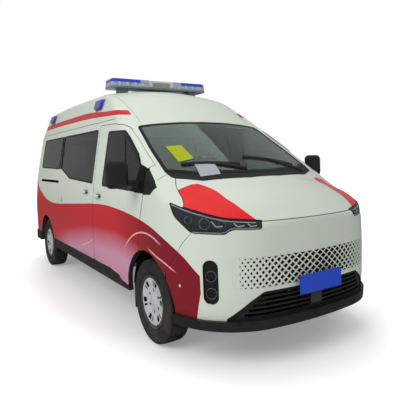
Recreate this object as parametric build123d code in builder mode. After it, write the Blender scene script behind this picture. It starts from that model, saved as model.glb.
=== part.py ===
from build123d import *
import os
from math import asin, cos, degrees, pi, radians, sin, sqrt, tan

os.makedirs("parts", exist_ok=True)

# A panel ambulance with a high roof. Millimetres: X forward, Y to the vehicle's left, Z up from the road.

# ---------------------------------------------------------------- driving dimensions
WHEELBASE = 3545
FRONT_AXLE_X = 1672
REAR_AXLE_X = FRONT_AXLE_X - WHEELBASE
TAIL_X = -2610            # rear face of the body
NOSE_X = 2640             # front face of the nose, at the middle
FORM_END = TAIL_X - 140   # where the side walls' construction starts, behind the tail
WALL = 45                 # a whole wall, door or lid, from skin to lining
GAP = 6                   # between panels that part
SEAL = 0.4                # between pieces that are bonded or screwed together
GLASS_SINK, GLASS = 3, 5  # glass under the skin, and its thickness
HEM_Z = 250               # lower end of the side walls' construction
STRIP = 350               # width of the strip that is swept round the nose
CORE_TOP = 2700

# The crown: every roof, tail, windscreen and bonnet line turns about one long axis under the floor.
CROWN_AXIS = Axis((0, 0, -1300), (1, 0, 0))
CROWN_ARC = 80

# Each corner of an outline: (point, radius of its rounding).
CABIN_LINE = [
    ((TAIL_X, 0), 0), ((TAIL_X, 1500), 8000), ((TAIL_X + 55, 2374), 160), ((-1500, 2402), 15000),
    ((271, 2380), 1300), ((2450, 1116), 0), ((2450, 0), 0),
]
NOSE_LINE = [
    ((-2000, 0), 0), ((-2000, 1700), 0), ((1200, 1841), 0), ((2012, 1370), 600), ((2160, 1325), 900),
    ((2420, 1215), 900), ((2800, 930), 0), ((2800, 0), 0),
]
SIDE_Y = 988
SIDE_SECTION = [
    ((952, HEM_Z), 0), ((978, 500), 1500), ((990, 900), 3500), ((965, 1270), 2500), ((862, 1915), 260),
    ((700, 2360), 0), ((700, CORE_TOP), 0),
]
SECTION_PLANE = Plane(origin=(FORM_END, 0, 0), x_dir=(0, 1, 0), z_dir=(1, 0, 0))
ROOF_ROUND = 90           # roof, tail and windscreen into the side
BONNET_ROUND = 60         # bonnet into the wing
# Plan of the nose: a flat front arc, a corner arc to CORNER_ANGLE, then one arc into the side.
FRONT_R, FRONT_HALF, CORNER_R, CORNER_ANGLE = 3000, 430, 620, 72


def inset_outline(table, depth):
    """The same outline with every line moved inwards, its roundings still concentric."""
    points = [Vector(*point) for point, _ in table]
    count = len(points)
    area = sum(points[i - 1].X * points[i].Y - points[i].X * points[i - 1].Y for i in range(count))
    turn = 1 if area > 0 else -1
    moved = []
    for i, (_, radius) in enumerate(table):
        before = (points[i] - points[i - 1]).normalized()
        after = (points[(i + 1) % count] - points[i]).normalized()
        normal_before = Vector(-before.Y, before.X) * turn
        normal_after = Vector(-after.Y, after.X) * turn
        corner = points[i] + (normal_before + normal_after) * (depth / (1 + normal_before.dot(normal_after)))
        convex = (before.X * after.Y - before.Y * after.X) * turn > 0
        moved.append(((corner.X, corner.Y), radius and radius + (-depth if convex else depth)))
    return moved


def rounded(table, inset=0):
    """A face from a table of corners, each rounded by its own radius."""
    table = inset_outline(table, inset) if inset else table
    with BuildSketch() as outline:
        with BuildLine():
            Polyline(*[point for point, _ in table], close=True)
        make_face()
        for (x, y), radius in table:
            if radius:
                corner = outline.vertices().sort_by_distance((x, y, 0))[0]
                fillet(corner, radius=radius)
    return outline.sketch


def crowned_form(table, inset=0):
    """A long outline turned about the crown axis, so that it arches from side to side."""
    with BuildPart() as form:
        with BuildSketch(Plane.XZ):
            add(rounded(table, inset))
        revolve(axis=CROWN_AXIS, revolution_arc=CROWN_ARC)
    return form.part.rotate(CROWN_AXIS, -CROWN_ARC / 2)


def straight_sides(inset=0):
    """The side section run straight from behind the tail to ahead of the windscreen."""
    with BuildPart() as form:
        with BuildSketch(SECTION_PLANE):
            add(rounded(SIDE_SECTION + [((-y, z), r) for (y, z), r in reversed(SIDE_SECTION)], inset))
        extrude(amount=2700 - FORM_END)
    return form.part


def wrapped_sides(inset=0):
    """The side section carried along both sides and round the nose, with a solid core."""
    start = degrees(asin(FRONT_HALF / FRONT_R))
    corner_y = FRONT_HALF + CORNER_R * (sin(radians(CORNER_ANGLE)) - sin(radians(start)))
    wing_r = (SIDE_Y - corner_y) / (1 - sin(radians(CORNER_ANGLE)))
    with BuildLine() as plan:
        nose = CenterArc((NOSE_X - FRONT_R, 0), FRONT_R, -start, 2 * start)
        corner = JernArc(nose @ 1, nose % 1, CORNER_R, CORNER_ANGLE - start)
        wing = JernArc(corner @ 1, corner % 1, wing_r, 90 - CORNER_ANGLE)
        side = Line(wing @ 1, (FORM_END, SIDE_Y))
        mirror([corner, wing, side], about=Plane.XZ)
    height = CORE_TOP - HEM_Z - 2 * inset
    inner = SIDE_Y - STRIP - inset
    strip = SIDE_SECTION + [((inner, CORE_TOP), 0), ((inner, HEM_Z), 0)]
    with BuildPart() as form:
        with BuildSketch(SECTION_PLANE):
            add(rounded(strip, inset))
        sweep(path=plan.wires()[0])
        with BuildSketch(Plane.XY.offset(HEM_Z + inset)):
            with BuildLine():
                add(plan.line)
                Line((FORM_END, SIDE_Y), (FORM_END, -SIDE_Y))
            make_face()
            offset(amount=-(STRIP - 50), mode=Mode.REPLACE)
        extrude(amount=height)
        with BuildSketch(Plane.YZ.offset(FORM_END)):
            with Locations((0, HEM_Z + inset + height / 2)):
                Rectangle(2 * (SIDE_Y - STRIP + 60), height)
        extrude(amount=600)
    return form.part


def seam_edges(body, first, second, keep):
    """Edges of body that lie on the skins of both forms that it was made from."""
    skins = first.shells()[0], second.shells()[0]
    found = []
    for edge in body.edges():
        middle = edge.position_at(0.5)
        touching = all(Vertex(*middle).distance_to(skin) < 0.05 for skin in skins)
        if keep(middle) and touching:
            found.append(edge)
    return found


def cabin_form(inset=0):
    return crowned_form(CABIN_LINE, inset) & straight_sides(inset)


def nose_form(inset=0):
    return crowned_form(NOSE_LINE, inset) & wrapped_sides(inset)


# ---------------------------------------------------------------- the body's skins
sides = straight_sides()
crown = crowned_form(CABIN_LINE)
cabin = crown & sides
cabin = cabin.fillet(ROOF_ROUND, seam_edges(
    cabin, crown, sides, lambda p: p.Z > HEM_Z + 2 and abs(p.Y) > 400 and p.X < 2440))
sides = wrapped_sides()
crown = crowned_form(NOSE_LINE)
nose = crown & sides
nose = nose.fillet(BONNET_ROUND, seam_edges(
    nose, crown, sides, lambda p: p.Z > HEM_Z + 2 and p.X > -1990))

cabin_wall = cabin - cabin_form(WALL)
nose_wall = nose - nose_form(WALL)
cabin_inside = cabin_form(WALL + SEAL)
nose_inside = nose_form(WALL + SEAL)
cabin_glass = cabin_form(GLASS_SINK) - cabin_form(GLASS_SINK + GLASS)
LENS = 8                  # lamp lenses
REACH = 1400              # how far the cutting prisms go
CANTRAIL_Y = 690          # the side panels start here, out from the middle


def plan_outline(half):
    """A closed table in X and Y from its left half."""
    return half + [((x, -y), r) for (x, y), r in reversed(half)]


def front_outline(half):
    """A closed table in Y and Z from its left half."""
    return half + [((-y, z), r) for (y, z), r in reversed(half)]


def prism(plane, table, inset=0, reach=REACH):
    """An outline on a plane, extruded along its normal; a negative inset widens it."""
    with BuildPart() as cutter:
        with BuildSketch(plane):
            add(rounded(table, inset))
        extrude(amount=reach)
    return cutter.part


def side_prism(table, inset=0):
    """An outline in X and Z through the right side, out from the roof's edge."""
    return prism(Plane.XZ.offset(CANTRAIL_Y), table, inset)


def cross_prism(table, inset=0):
    """An outline in X and Z across the whole width."""
    return prism(Plane.XZ.offset(-1200), table, inset, 2400)


def nose_prism(table, inset=0):
    """An outline in Y and Z through the nose."""
    return prism(Plane.YZ.offset(1500), table, inset)


def tail_prism(table, inset=0):
    """An outline in Y and Z through the tail."""
    return prism(Plane.YZ.offset(FORM_END), table, inset, 400)


def plan_prism(table, inset=0):
    """An outline in X and Y straight up through the body."""
    return prism(Plane.XY.offset(HEM_Z), table, inset, CORE_TOP - HEM_Z)


# Seen along the corner of the nose: across and up.
CORNER_RIGHT = Plane(origin=(0, 0, 0), x_dir=(1, 1, 0), z_dir=(1, -1, 0))


def corner_prism(table, inset=0):
    """An outline seen along the right front corner's diagonal."""
    return prism(CORNER_RIGHT.offset(1500), table, inset)


def block(low, high):
    """A box from its lowest to its highest corner."""
    middle = tuple((a + b) / 2 for a, b in zip(low, high))
    with BuildPart() as box:
        with Locations(middle):
            Box(*[b - a for a, b in zip(low, high)])
    return box.part


def wheel_cylinder(x, radius, near, far):
    """A cylinder about an axle on the right side, from near to far out from the middle."""
    with BuildPart() as cylinder:
        with BuildSketch(Plane.XZ.offset(near)):
            with Locations((x, TYRE_R)):
                Circle(radius)
        extrude(amount=far - near)
    return cylinder.part


def flipped(shape):
    """The same on the left side."""
    return shape.mirror(Plane.XZ)


def biggest(shape):
    return shape.solids().sort_by(SortBy.VOLUME)[-1]


# ---------------------------------------------------------------- wheels and arches
TYRE_R, TYRE_W, WHEEL_Y = 348, 210, 856
RIM_R, RIM_W, RIM_SHELL = 203, 165, 7
ARCH_R, ARCH_BACK = 425, 22
REAR_ARCH_R = 406
ARCH_X = FRONT_AXLE_X - ARCH_BACK
LINER = 4
KINGPIN_Y = 800
STEER_ROOM_Y = 548        # the front arch reaches in to here, so that the tyre can turn
REAR_BOX_Y = 735          # and the rear one to here
HUB_R, SPINDLE_R = 62, 32

# ---------------------------------------------------------------- outlines of openings, seen from the right
SILL_TOP, SILL_FOOT = 465, 338
TAIL_SEAM, ROOF_SEAM, SCREEN_SEAM = 1936, 1965, 1930
DOOR_REAR_X = 305
FRONT_DOOR = [
    ((DOOR_REAR_X, SILL_TOP), 25), ((770, SILL_TOP), 300), ((1010, 440), 0), ((1070, 405), 0),
    ((1180, 392), 0), ((1508, 392), 0), ((1508, 757), 400), ((1541, 933), 400), ((1559, 1062), 400),
    ((1594, 1215), 100), ((1598, 1478), 0), ((1640, 1560), 0), ((1060, 1940), 0), ((1047, 1825), 0),
    ((984, 1859), 0), ((922, 1883), 200), ((737, 1908), 0), ((DOOR_REAR_X, 1922), 40),
]
# Seen from above, the windscreen pillar that the door's frame closes against.
PILLAR = [
    ((900, 750), 0), ((1047, 811), 0), ((1238, 816), 0), ((1452, 837), 0), ((1700, 846), 0), ((1700, 600), 0),
    ((900, 600), 0),
]
DOOR_WINDOW = [
    ((555, 1272), 30), ((1385, 1252), 12), ((1500, 1480), 12), ((1376, 1595), 60), ((1125, 1757), 150),
    ((1000, 1829), 100), ((575, 1846), 40),
]
SLIDING_DOOR = [
    ((-1010, SILL_TOP), 20), ((DOOR_REAR_X - GAP, SILL_TOP), 20), ((DOOR_REAR_X - GAP, 1912), 40),
    ((-1180, 1912), 40), ((-1180, 1000), 200), ((-1080, 720), 200),
]
SLIDING_WINDOW = [
    ((-1130, 1440), 40), ((-912, 1384), 60), ((-695, 1322), 60), ((255, 1286), 30), ((255, 1886), 40),
    ((-1130, 1890), 40),
]
QUARTER_WINDOW = [
    ((-2320, 1458), 60), ((-1235, 1440), 40), ((-1235, 1890), 40), ((-2290, 1890), 60),
]
SAIL = [
    ((1608, 1240), 8), ((1741, 1246), 40), ((1826, 1304), 12), ((1627, 1440), 0), ((1608, 1453), 8),
]
SIDE_PANEL = [
    ((-2700, SILL_TOP), 0), ((1250, SILL_TOP), 0), ((1600, 1462), 0), ((1627, 1444), 0), ((1772, 1345), 0),
    ((1742, 1420), 0), ((1900, 1600), 0), ((1900, SCREEN_SEAM), 0), ((1010, SCREEN_SEAM), 0),
    ((900, ROOF_SEAM), 0), ((-2450, ROOF_SEAM), 0), ((-2450, TAIL_SEAM), 0), ((-2700, TAIL_SEAM), 0),
]
ROOF = [
    ((-2800, TAIL_SEAM), 0), ((-2400, TAIL_SEAM), 0), ((-2400, 1700), 0), ((1500, 1700), 0), ((1500, 2600), 0),
    ((-2800, 2600), 0),
]
WING = [
    ((1498, 420), 0), ((1498, 757), 0), ((1541, 940), 0), ((1604, 1222), 0), ((1604, 1236), 0),
    ((1741, 1242), 0), ((1830, 1304), 0), ((1775, 1345), 0), ((1745, 1420), 0), ((1900, 1440), 0),
    ((2260, 1300), 0), ((2260, 979), 0), ((2194, 908), 0), ((2132, 826), 0),
    ((1995, 667), 0), ((1900, 420), 0),
]
LIP_TOP = 358
BUMPER = [
    ((1998, 667), 0), ((2135, 826), 0), ((2197, 908), 0), ((2266, 982), 0), ((2350, 1160), 0),
    ((2900, 1160), 0), ((2900, LIP_TOP + SEAL), 0), ((1990, LIP_TOP + SEAL), 0),
]
# Seen from behind.
REAR_DOOR_SIDE = 800
REAR_DOOR = [
    ((GAP / 2, SILL_TOP + 10), 10), ((REAR_DOOR_SIDE, SILL_TOP + 10), 40), ((REAR_DOOR_SIDE, 1300), 0),
    ((740, TAIL_SEAM - GAP - 2), 60), ((GAP / 2, TAIL_SEAM - GAP - 2), 10),
]
REAR_WINDOW = [((90, 1390), 50), ((640, 1390), 50), ((610, 1840), 50), ((90, 1840), 50)]
TAIL_LAMP = [((826, 880), 25), ((906, 880), 25), ((906, 1300), 25), ((826, 1300), 25)]
# Seen from above.
SCREEN_TOP, SCREEN_BASE, COWL = 1068, 2050, 95
WINDSCREEN = plan_outline([
    ((SCREEN_BASE, 160), 0), ((1948, 575), 0), ((1806, 792), 40), ((1715, 812), 0), ((1398, 790), 0),
    ((1000, 738), 50), ((SCREEN_TOP - 25, 430), 0), ((SCREEN_TOP, 140), 0),
])
SCREEN_GLASS = plan_outline([
    ((SCREEN_BASE - COWL, 160), 0), ((1948 - COWL, 575), 0), ((1806 - COWL, 792), 20), ((1680, 807), 0),
    ((1398, 790), 0), ((1000, 738), 50), ((SCREEN_TOP - 25, 430), 0), ((SCREEN_TOP, 140), 0),
])
BONNET_PLAN = plan_outline([
    ((2900, 930), 0), ((2185, 930), 0), ((2155, 878), 80), ((2057, 834), 200), ((1902, 806), 200),
    ((1830, 768), 0), ((1700, 768), 0), ((1700, 10), 0),
])
# Seen from the front.
BONNET_EDGE = front_outline([
    ((469, 1062), 300), ((711, 1088), 300), ((829, 1129), 150), ((888, 1165), 0), ((960, 1210), 0),
    ((960, 1600), 0),
])
GRILLE_HALF, GRILLE_FOOT, GRILLE_TOP = 700, 585, 810
GRILLE_OPENING = [
    ((-GRILLE_HALF, GRILLE_FOOT + 20), 30), ((-GRILLE_HALF + 80, GRILLE_FOOT), 60),
    ((GRILLE_HALF - 80, GRILLE_FOOT), 60), ((GRILLE_HALF, GRILLE_FOOT + 20), 30),
    ((GRILLE_HALF, GRILLE_TOP), 40), ((-GRILLE_HALF, GRILLE_TOP), 40),
]
INTAKE_OPENING = [
    ((-731, LIP_TOP - 20), 0), ((731, LIP_TOP - 20), 0), ((725, 375), 30), ((590, 495), 150), ((490, 560), 80),
    ((-490, 560), 80), ((-590, 495), 150), ((-725, 375), 30),
]
# Seen along the corner.
HEADLAMP = [
    ((764, 1200), 6), ((905, 1162), 600), ((1037, 1129), 600), ((1226, 1088), 600), ((1440, 1067), 300),
    ((1481, 1061), 8), ((1489, 1005), 20), ((1278, 1013), 100), ((1228, 979), 40), ((970, 983), 100),
    ((822, 1093), 100),
]
FOG_S, FOG_HALF, FOG_TOP, FOG_FOOT = 1113, 58, 797, 475
FOG_RECESS = [
    ((FOG_S - FOG_HALF, FOG_FOOT), 57), ((FOG_S + FOG_HALF, FOG_FOOT), 57),
    ((FOG_S + FOG_HALF, FOG_TOP), 57), ((FOG_S - FOG_HALF, FOG_TOP), 57),
]

screen_hole = plan_prism(WINDSCREEN)
pillar_right = flipped(plan_prism(PILLAR))
door_hole = side_prism(FRONT_DOOR, -GAP) - flipped(plan_prism(PILLAR, GAP))
front_arch = wheel_cylinder(ARCH_X, ARCH_R, 500, 1300)
rear_arch = wheel_cylinder(REAR_AXLE_X, REAR_ARCH_R, 600, 1300)
bonnet_hole = nose_prism(BONNET_EDGE, -GAP) & plan_prism(BONNET_PLAN, -GAP)
headlamp_hole = corner_prism(HEADLAMP)

# ---------------------------------------------------------------- fixed panels
with BuildPart() as high_roof:
    add(cabin_wall)
    add(cross_prism(ROOF, SEAL), mode=Mode.INTERSECT)
    add(screen_hole, mode=Mode.SUBTRACT)
    for cutter in (side_prism(SIDE_PANEL, -SEAL), flipped(side_prism(SIDE_PANEL, -SEAL))):
        add(cutter, mode=Mode.SUBTRACT)
high_roof.part.label = "high_roof"
export_step(high_roof.part, "parts/high_roof.step")

with BuildPart() as side_wall:
    add(cabin_wall)
    add(side_prism(SIDE_PANEL), mode=Mode.INTERSECT)
    add(screen_hole, mode=Mode.SUBTRACT)
    add(door_hole, mode=Mode.SUBTRACT)
    add(flipped(tail_prism(REAR_DOOR, -GAP)), mode=Mode.SUBTRACT)
    add(flipped(tail_prism(TAIL_LAMP)), mode=Mode.SUBTRACT)
    add(rear_arch, mode=Mode.SUBTRACT)
    add(side_prism(QUARTER_WINDOW), mode=Mode.SUBTRACT)

with BuildPart() as side_panel_right:
    add(biggest(side_wall.part - side_prism(SLIDING_DOOR, -2 * SEAL)))
side_panel_right.part.label = "side_panel_right"
export_step(side_panel_right.part, "parts/side_panel_right.step")

with BuildPart() as side_panel_left:
    add(flipped(biggest(side_wall.part - side_prism(SLIDING_WINDOW))))
side_panel_left.part.label = "side_panel_left"
export_step(side_panel_left.part, "parts/side_panel_left.step")

with BuildPart() as sliding_door:
    add(cabin_wall)
    add(side_prism(SLIDING_DOOR), mode=Mode.INTERSECT)
    add(side_prism(SLIDING_WINDOW), mode=Mode.SUBTRACT)
    with BuildSketch(Plane.XZ.offset(SIDE_Y - 12)):
        with Locations((-1000, 1080)):
            RectangleRounded(56, 150, 20)
    extrude(amount=60, mode=Mode.SUBTRACT)
sliding_door.part.label = "sliding_door"
export_step(sliding_door.part, "parts/sliding_door.step")

with BuildPart() as side_windows:
    for pane in (SLIDING_WINDOW, QUARTER_WINDOW):
        glass = cabin_glass & side_prism(pane, SEAL)
        add(glass)
        add(flipped(glass))
side_windows.part.label = "side_windows"
export_step(side_windows.part, "parts/side_windows.step")

with BuildPart() as windscreen:
    add(cabin_glass)
    add(plan_prism(SCREEN_GLASS, SEAL), mode=Mode.INTERSECT)
    add(block((900, -900, 1000), (2100, 900, 2100)), mode=Mode.INTERSECT)
windscreen.part.label = "windscreen"
export_step(windscreen.part, "parts/windscreen.step")

wing_right = biggest(
    (nose_wall & side_prism(WING)) - screen_hole - door_hole - front_arch - bonnet_hole - headlamp_hole)
with BuildPart() as front_wings:
    add(wing_right)
    add(flipped(wing_right))
front_wings.part.label = "front_wings"
export_step(front_wings.part, "parts/front_wings.step")

with BuildPart() as front_bumper:
    add(nose_wall)
    add(cross_prism(BUMPER, SEAL), mode=Mode.INTERSECT)
    add(bonnet_hole, mode=Mode.SUBTRACT)
    add(nose_prism(GRILLE_OPENING), mode=Mode.SUBTRACT)
    add(nose_prism(INTAKE_OPENING), mode=Mode.SUBTRACT)
    for cutter in (headlamp_hole, front_arch, corner_prism(FOG_RECESS)):
        add(cutter, mode=Mode.SUBTRACT)
        add(flipped(cutter), mode=Mode.SUBTRACT)
front_bumper = biggest(front_bumper.part)
front_bumper.label = "front_bumper"
export_step(front_bumper, "parts/front_bumper.step")
print("panels", flush=True)

# ---------------------------------------------------------------- nose
with BuildPart() as headlamp_lenses:
    lens = (nose - nose_form(LENS)) & corner_prism(HEADLAMP, SEAL)
    add(lens)
    add(flipped(lens))
headlamp_lenses.part.label = "headlamp_lenses"
export_step(headlamp_lenses.part, "parts/headlamp_lenses.step")

LAMP_BOWLS = [(1075, 1052, 50), (1205, 1046, 34), (945, 1075, 34)]       # across, up, radius
bowls = [
    extrude(CORNER_RIGHT.offset(1500) * Pos(s, z) * Circle(radius), amount=REACH)
    for s, z, radius in LAMP_BOWLS]
with BuildPart() as housing:
    add((nose_form(LENS + SEAL) - nose_form(WALL)) & corner_prism(HEADLAMP, SEAL))
    for bowl in bowls:
        add(bowl & (nose - nose_form(WALL - 8)), mode=Mode.SUBTRACT)
with BuildPart() as headlamp_housings:
    add(biggest(housing.part))
    add(flipped(biggest(housing.part)))
headlamp_housings.part.label = "headlamp_housings"
export_step(headlamp_housings.part, "parts/headlamp_housings.step")

# Each fog lamp housing is a tall tray with two round lamps.
FOG_LAMPS = [(676, 44), (552, 44)]           # height, radius
fog_barrels = [
    extrude(CORNER_RIGHT.offset(1500) * Pos(FOG_S, z) * Circle(radius), amount=REACH)
    for z, radius in FOG_LAMPS]
fog_bores = [
    extrude(CORNER_RIGHT.offset(1500) * Pos(FOG_S, z) * Circle(radius + SEAL), amount=REACH)
    for z, radius in FOG_LAMPS]
tray = biggest(((nose_form(14) - nose_form(WALL)) & corner_prism(FOG_RECESS, SEAL)) - fog_bores)
with BuildPart() as fog_trays:
    add(tray)
    add(flipped(tray))
fog_trays.part.label = "fog_trays"
export_step(fog_trays.part, "parts/fog_trays.step")

with BuildPart() as fog_lamps:
    for barrel in fog_barrels:
        lamp = barrel & (nose_form(18) - nose_form(WALL))
        add(lamp)
        add(flipped(lamp))
fog_lamps.part.label = "fog_lamps"
export_step(fog_lamps.part, "parts/fog_lamps.step")

# The grille: a staggered lattice of diamond openings that shrink towards its ends.
COLUMN, ROW = 40.5, 28.5
DIAMOND_W, DIAMOND_H, DIAMOND_END = 45, 38, 0.34
GRILLE_SINK, GRILLE_DEPTH = 8, 10
GRILLE_Z = (GRILLE_FOOT + GRILLE_TOP) / 2
columns = int((GRILLE_HALF - 28) / COLUMN)
with BuildPart() as diamonds:
    with BuildSketch(Plane.YZ.offset(2100)):
        for column in range(-columns, columns + 1):
            share = 1 - (1 - DIAMOND_END) * (abs(column) / columns) ** 1.6
            w, h = DIAMOND_W * share / 2, DIAMOND_H * share / 2
            for row in range(-3, 4):
                y, z = column * COLUMN, GRILLE_Z + row * ROW
                inside = abs(row * ROW) < (GRILLE_TOP - GRILLE_FOOT) / 2 - 22
                if (row + column) % 2 == 0 and inside:
                    with Locations((y, z)):
                        Polygon((-w, 0), (0, -h), (w, 0), (0, h), align=None)
    extrude(amount=600)
with BuildPart() as diamond_grille:
    add(nose_form(GRILLE_SINK) - nose_form(GRILLE_SINK + GRILLE_DEPTH))
    add(nose_prism(GRILLE_OPENING, SEAL), mode=Mode.INTERSECT)
    add(diamonds.part, mode=Mode.SUBTRACT)
diamond_grille.part.label = "diamond_grille"
export_step(diamond_grille.part, "parts/diamond_grille.step")
print("grille", flush=True)

# Lower intake: a dark frame with slats over a lip that stands proud of the bumper.
SLAT_Z, SLAT_PITCH, SLATS, SLAT_SLOT = 392, 34, 5, 20
LIP_FOOT, LIP_PROUD = 285, 26
with BuildPart() as slots:
    with BuildSketch(Plane.YZ.offset(2100)):
        for i in range(SLATS):
            z = SLAT_Z + i * SLAT_PITCH
            half = 640 - 115 * i * SLAT_PITCH / 140 - 25
            for side in (-1, 1):
                with Locations((side * (half + 60) / 2, z)):
                    RectangleRounded(half - 60, SLAT_SLOT, 6)
    extrude(amount=600)
with BuildPart() as lower_intake:
    add(nose_form(12) - nose_form(WALL))
    add(nose_prism(INTAKE_OPENING, SEAL), mode=Mode.INTERSECT)
    add(block((2000, -900, LIP_TOP + SEAL), (2800, 900, 700)), mode=Mode.INTERSECT)
    add(slots.part, mode=Mode.SUBTRACT)
lower_intake.part.label = "lower_intake"
export_step(lower_intake.part, "parts/lower_intake.step")

with BuildPart() as bumper_lip:
    add(wrapped_sides(-LIP_PROUD) & block((2070, -1100, LIP_FOOT), (2800, 1100, LIP_TOP)))
    add(wrapped_sides(WALL), mode=Mode.SUBTRACT)
    add(front_arch, mode=Mode.SUBTRACT)
    add(flipped(front_arch), mode=Mode.SUBTRACT)
bumper_lip.part.label = "bumper_lip"
export_step(bumper_lip.part, "parts/bumper_lip.step")

PLATE_W, PLATE_H, PLATE_Z, PLATE_X = 440, 140, 574, 2676
with BuildPart() as number_plate:
    with BuildSketch(Plane.YZ.offset(PLATE_X)):
        with Locations((0, PLATE_Z)):
            RectangleRounded(PLATE_W, PLATE_H, 8)
    extrude(amount=-3)
    with BuildSketch(Plane.YZ.offset(PLATE_X - 3)):
        with Locations((0, PLATE_Z - 38)):
            Rectangle(320, 36)
    extrude(amount=-(PLATE_X - 3 - NOSE_X + 100))
    add(nose_form(12 - SEAL), mode=Mode.SUBTRACT)
number_plate = biggest(number_plate.part)
number_plate.label = "number_plate"
export_step(number_plate, "parts/number_plate.step")

with BuildPart() as bonnet:
    add(nose_wall)
    add(nose_prism(BONNET_EDGE) & plan_prism(BONNET_PLAN), mode=Mode.INTERSECT)
    add(plan_prism(WINDSCREEN, -GAP), mode=Mode.SUBTRACT)
    add(headlamp_gap := corner_prism(HEADLAMP, -GAP), mode=Mode.SUBTRACT)
    add(flipped(headlamp_gap), mode=Mode.SUBTRACT)
bonnet = biggest(bonnet.part)
bonnet.label = "bonnet"
export_step(bonnet, "parts/bonnet.step")

with BuildPart() as cowl:
    add(nose_form(6) - nose_form(WALL))
    add(plan_prism(WINDSCREEN, SEAL), mode=Mode.INTERSECT)
    add(plan_prism(SCREEN_GLASS, -SEAL), mode=Mode.SUBTRACT)
    add(block((1500, -850, 1200), (2100, 850, 1700)), mode=Mode.INTERSECT)
cowl = biggest(cowl.part)

# Wipers lie on the glass: each a blade and an arm back to its spindle in the cowl.
BLADE_T = 14
WIPERS = [                                   # spindle, blade's inner and outer end, seen from above
    ((1880, 620), (1800, 560), (1740, 0)),
    ((1915, -90), (1845, -120), (1700, -640)),
]
wiper_layer = crowned_form(CABIN_LINE, GLASS_SINK - SEAL - BLADE_T) - crowned_form(CABIN_LINE, GLASS_SINK - SEAL)


def strip(start, end, width):
    """A straight strip seen from above, standing up through the body."""
    with BuildPart() as upright:
        with BuildSketch(Plane.XY.offset(1000)):
            with BuildLine():
                Line(start, end)
            trace(line_width=width)
        extrude(amount=900)
    return upright.part


with BuildPart() as wipers:
    for spindle, inner, outer in WIPERS:
        elbow = tuple((a + b) / 2 for a, b in zip(inner, outer))
        for piece in (strip(inner, outer, 18), strip(spindle, elbow, 22)):
            add(piece & wiper_layer)
wipers.part.label = "wipers"
export_step(wipers.part, "parts/wipers.step")

with BuildPart() as black_trim:
    add(cowl)
    sail = biggest(cabin_wall & side_prism(SAIL, SEAL) & block((1500, -1100, 1000), (2000, -870, 1600)))
    add(sail)
    add(flipped(sail))
black_trim.part.label = "cowl_and_sails"
export_step(black_trim.part, "parts/cowl_and_sails.step")
print("nose", flush=True)

# ---------------------------------------------------------------- sills, tail
sill_outline = [
    ((-1480, SILL_FOOT), 0), ((1300, SILL_FOOT), 0), ((1300, SILL_TOP - SEAL), 0), ((-1480, SILL_TOP - SEAL), 0),
]
with BuildPart() as side_sills:
    sill = biggest((cabin_wall & side_prism(sill_outline)) - door_hole - front_arch - rear_arch)
    add(sill)
    add(flipped(sill))

BUMPER_X, BUMPER_FOOT = 2675, 330
TOW_EYE, TOW_EYE_R = (-600, 400), 11
with BuildPart() as rear_bumper:
    with BuildSketch(Plane.XY.offset(BUMPER_FOOT)):
        with Locations((-BUMPER_X, 0)):
            Rectangle(800, 2 * SIDE_Y - 14, align=(Align.MIN, Align.CENTER))
        fillet(vertices().group_by(Axis.X)[0], radius=90)
        with Locations((-BUMPER_X + 60, 0)):
            Rectangle(800, 2 * (SIDE_Y - 55), align=(Align.MIN, Align.CENTER), mode=Mode.SUBTRACT)
    extrude(amount=SILL_TOP - SEAL - BUMPER_FOOT)
    add(rear_arch, mode=Mode.SUBTRACT)
    add(flipped(rear_arch), mode=Mode.SUBTRACT)
    add(block((-2250, -1100, 300), (-1800, 1100, 500)), mode=Mode.SUBTRACT)
    with BuildSketch(Plane.XY.offset(SILL_TOP - SEAL)):
        with Locations((-BUMPER_X + 30, 0)):
            RectangleRounded(30, 1100, 8)
    extrude(amount=-8, mode=Mode.SUBTRACT)
    with BuildSketch(Plane.YZ.offset(-BUMPER_X - 10)):
        with Locations(TOW_EYE):
            Circle(TOW_EYE_R)
    extrude(amount=100, mode=Mode.SUBTRACT)
rear_bumper.part.label = "rear_bumper"
export_step(rear_bumper.part, "parts/rear_bumper.step")

with BuildPart() as tail_lamps:
    lamp = flipped(cabin_wall & tail_prism(TAIL_LAMP, SEAL))
    add(lamp)
    add(flipped(lamp))
tail_lamps.part.label = "tail_lamps"
export_step(tail_lamps.part, "parts/tail_lamps.step")

# ---------------------------------------------------------------- doors
front_door = biggest(
    (cabin_wall & side_prism(FRONT_DOOR)) - pillar_right - front_arch - side_prism(DOOR_WINDOW))
front_glass = biggest(cabin_glass & side_prism(DOOR_WINDOW, SEAL))
rear_door = flipped((cabin_wall & tail_prism(REAR_DOOR)) - tail_prism(REAR_WINDOW))
rear_glass = flipped(cabin_glass & tail_prism(REAR_WINDOW, SEAL))
# The mirror stands on the door's solid front corner.
MIRROR_X, MIRROR_Y, MIRROR_Z = 1498, 1160, 1410
MIRROR_SIZE = (104, 210, 240)
with BuildPart() as mirror_right:
    with Locations((MIRROR_X, -MIRROR_Y, MIRROR_Z)):
        Box(*MIRROR_SIZE)
    fillet(edges(), radius=30)
    with BuildSketch(Plane.YZ.offset(MIRROR_X - MIRROR_SIZE[0] / 2)):
        with Locations((-MIRROR_Y, MIRROR_Z)):
            RectangleRounded(MIRROR_SIZE[1] - 44, MIRROR_SIZE[2] - 44, 24)
    extrude(amount=9, mode=Mode.SUBTRACT)
    with BuildSketch(Plane.XZ.offset(900)):
        with Locations((MIRROR_X + 8, 1312)):
            RectangleRounded(62, 36, 14)
    extrude(amount=MIRROR_Y - 900)
    add(cabin, mode=Mode.SUBTRACT)
mirror_right = biggest(mirror_right.part).moved(Location((0, -SEAL, 0)))
mirror_right.label = "mirror_right"
export_step(mirror_right, "parts/mirror_right.step")
mirror_left = flipped(mirror_right)
mirror_left.label = "mirror_left"
export_step(mirror_left, "parts/mirror_left.step")

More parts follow.
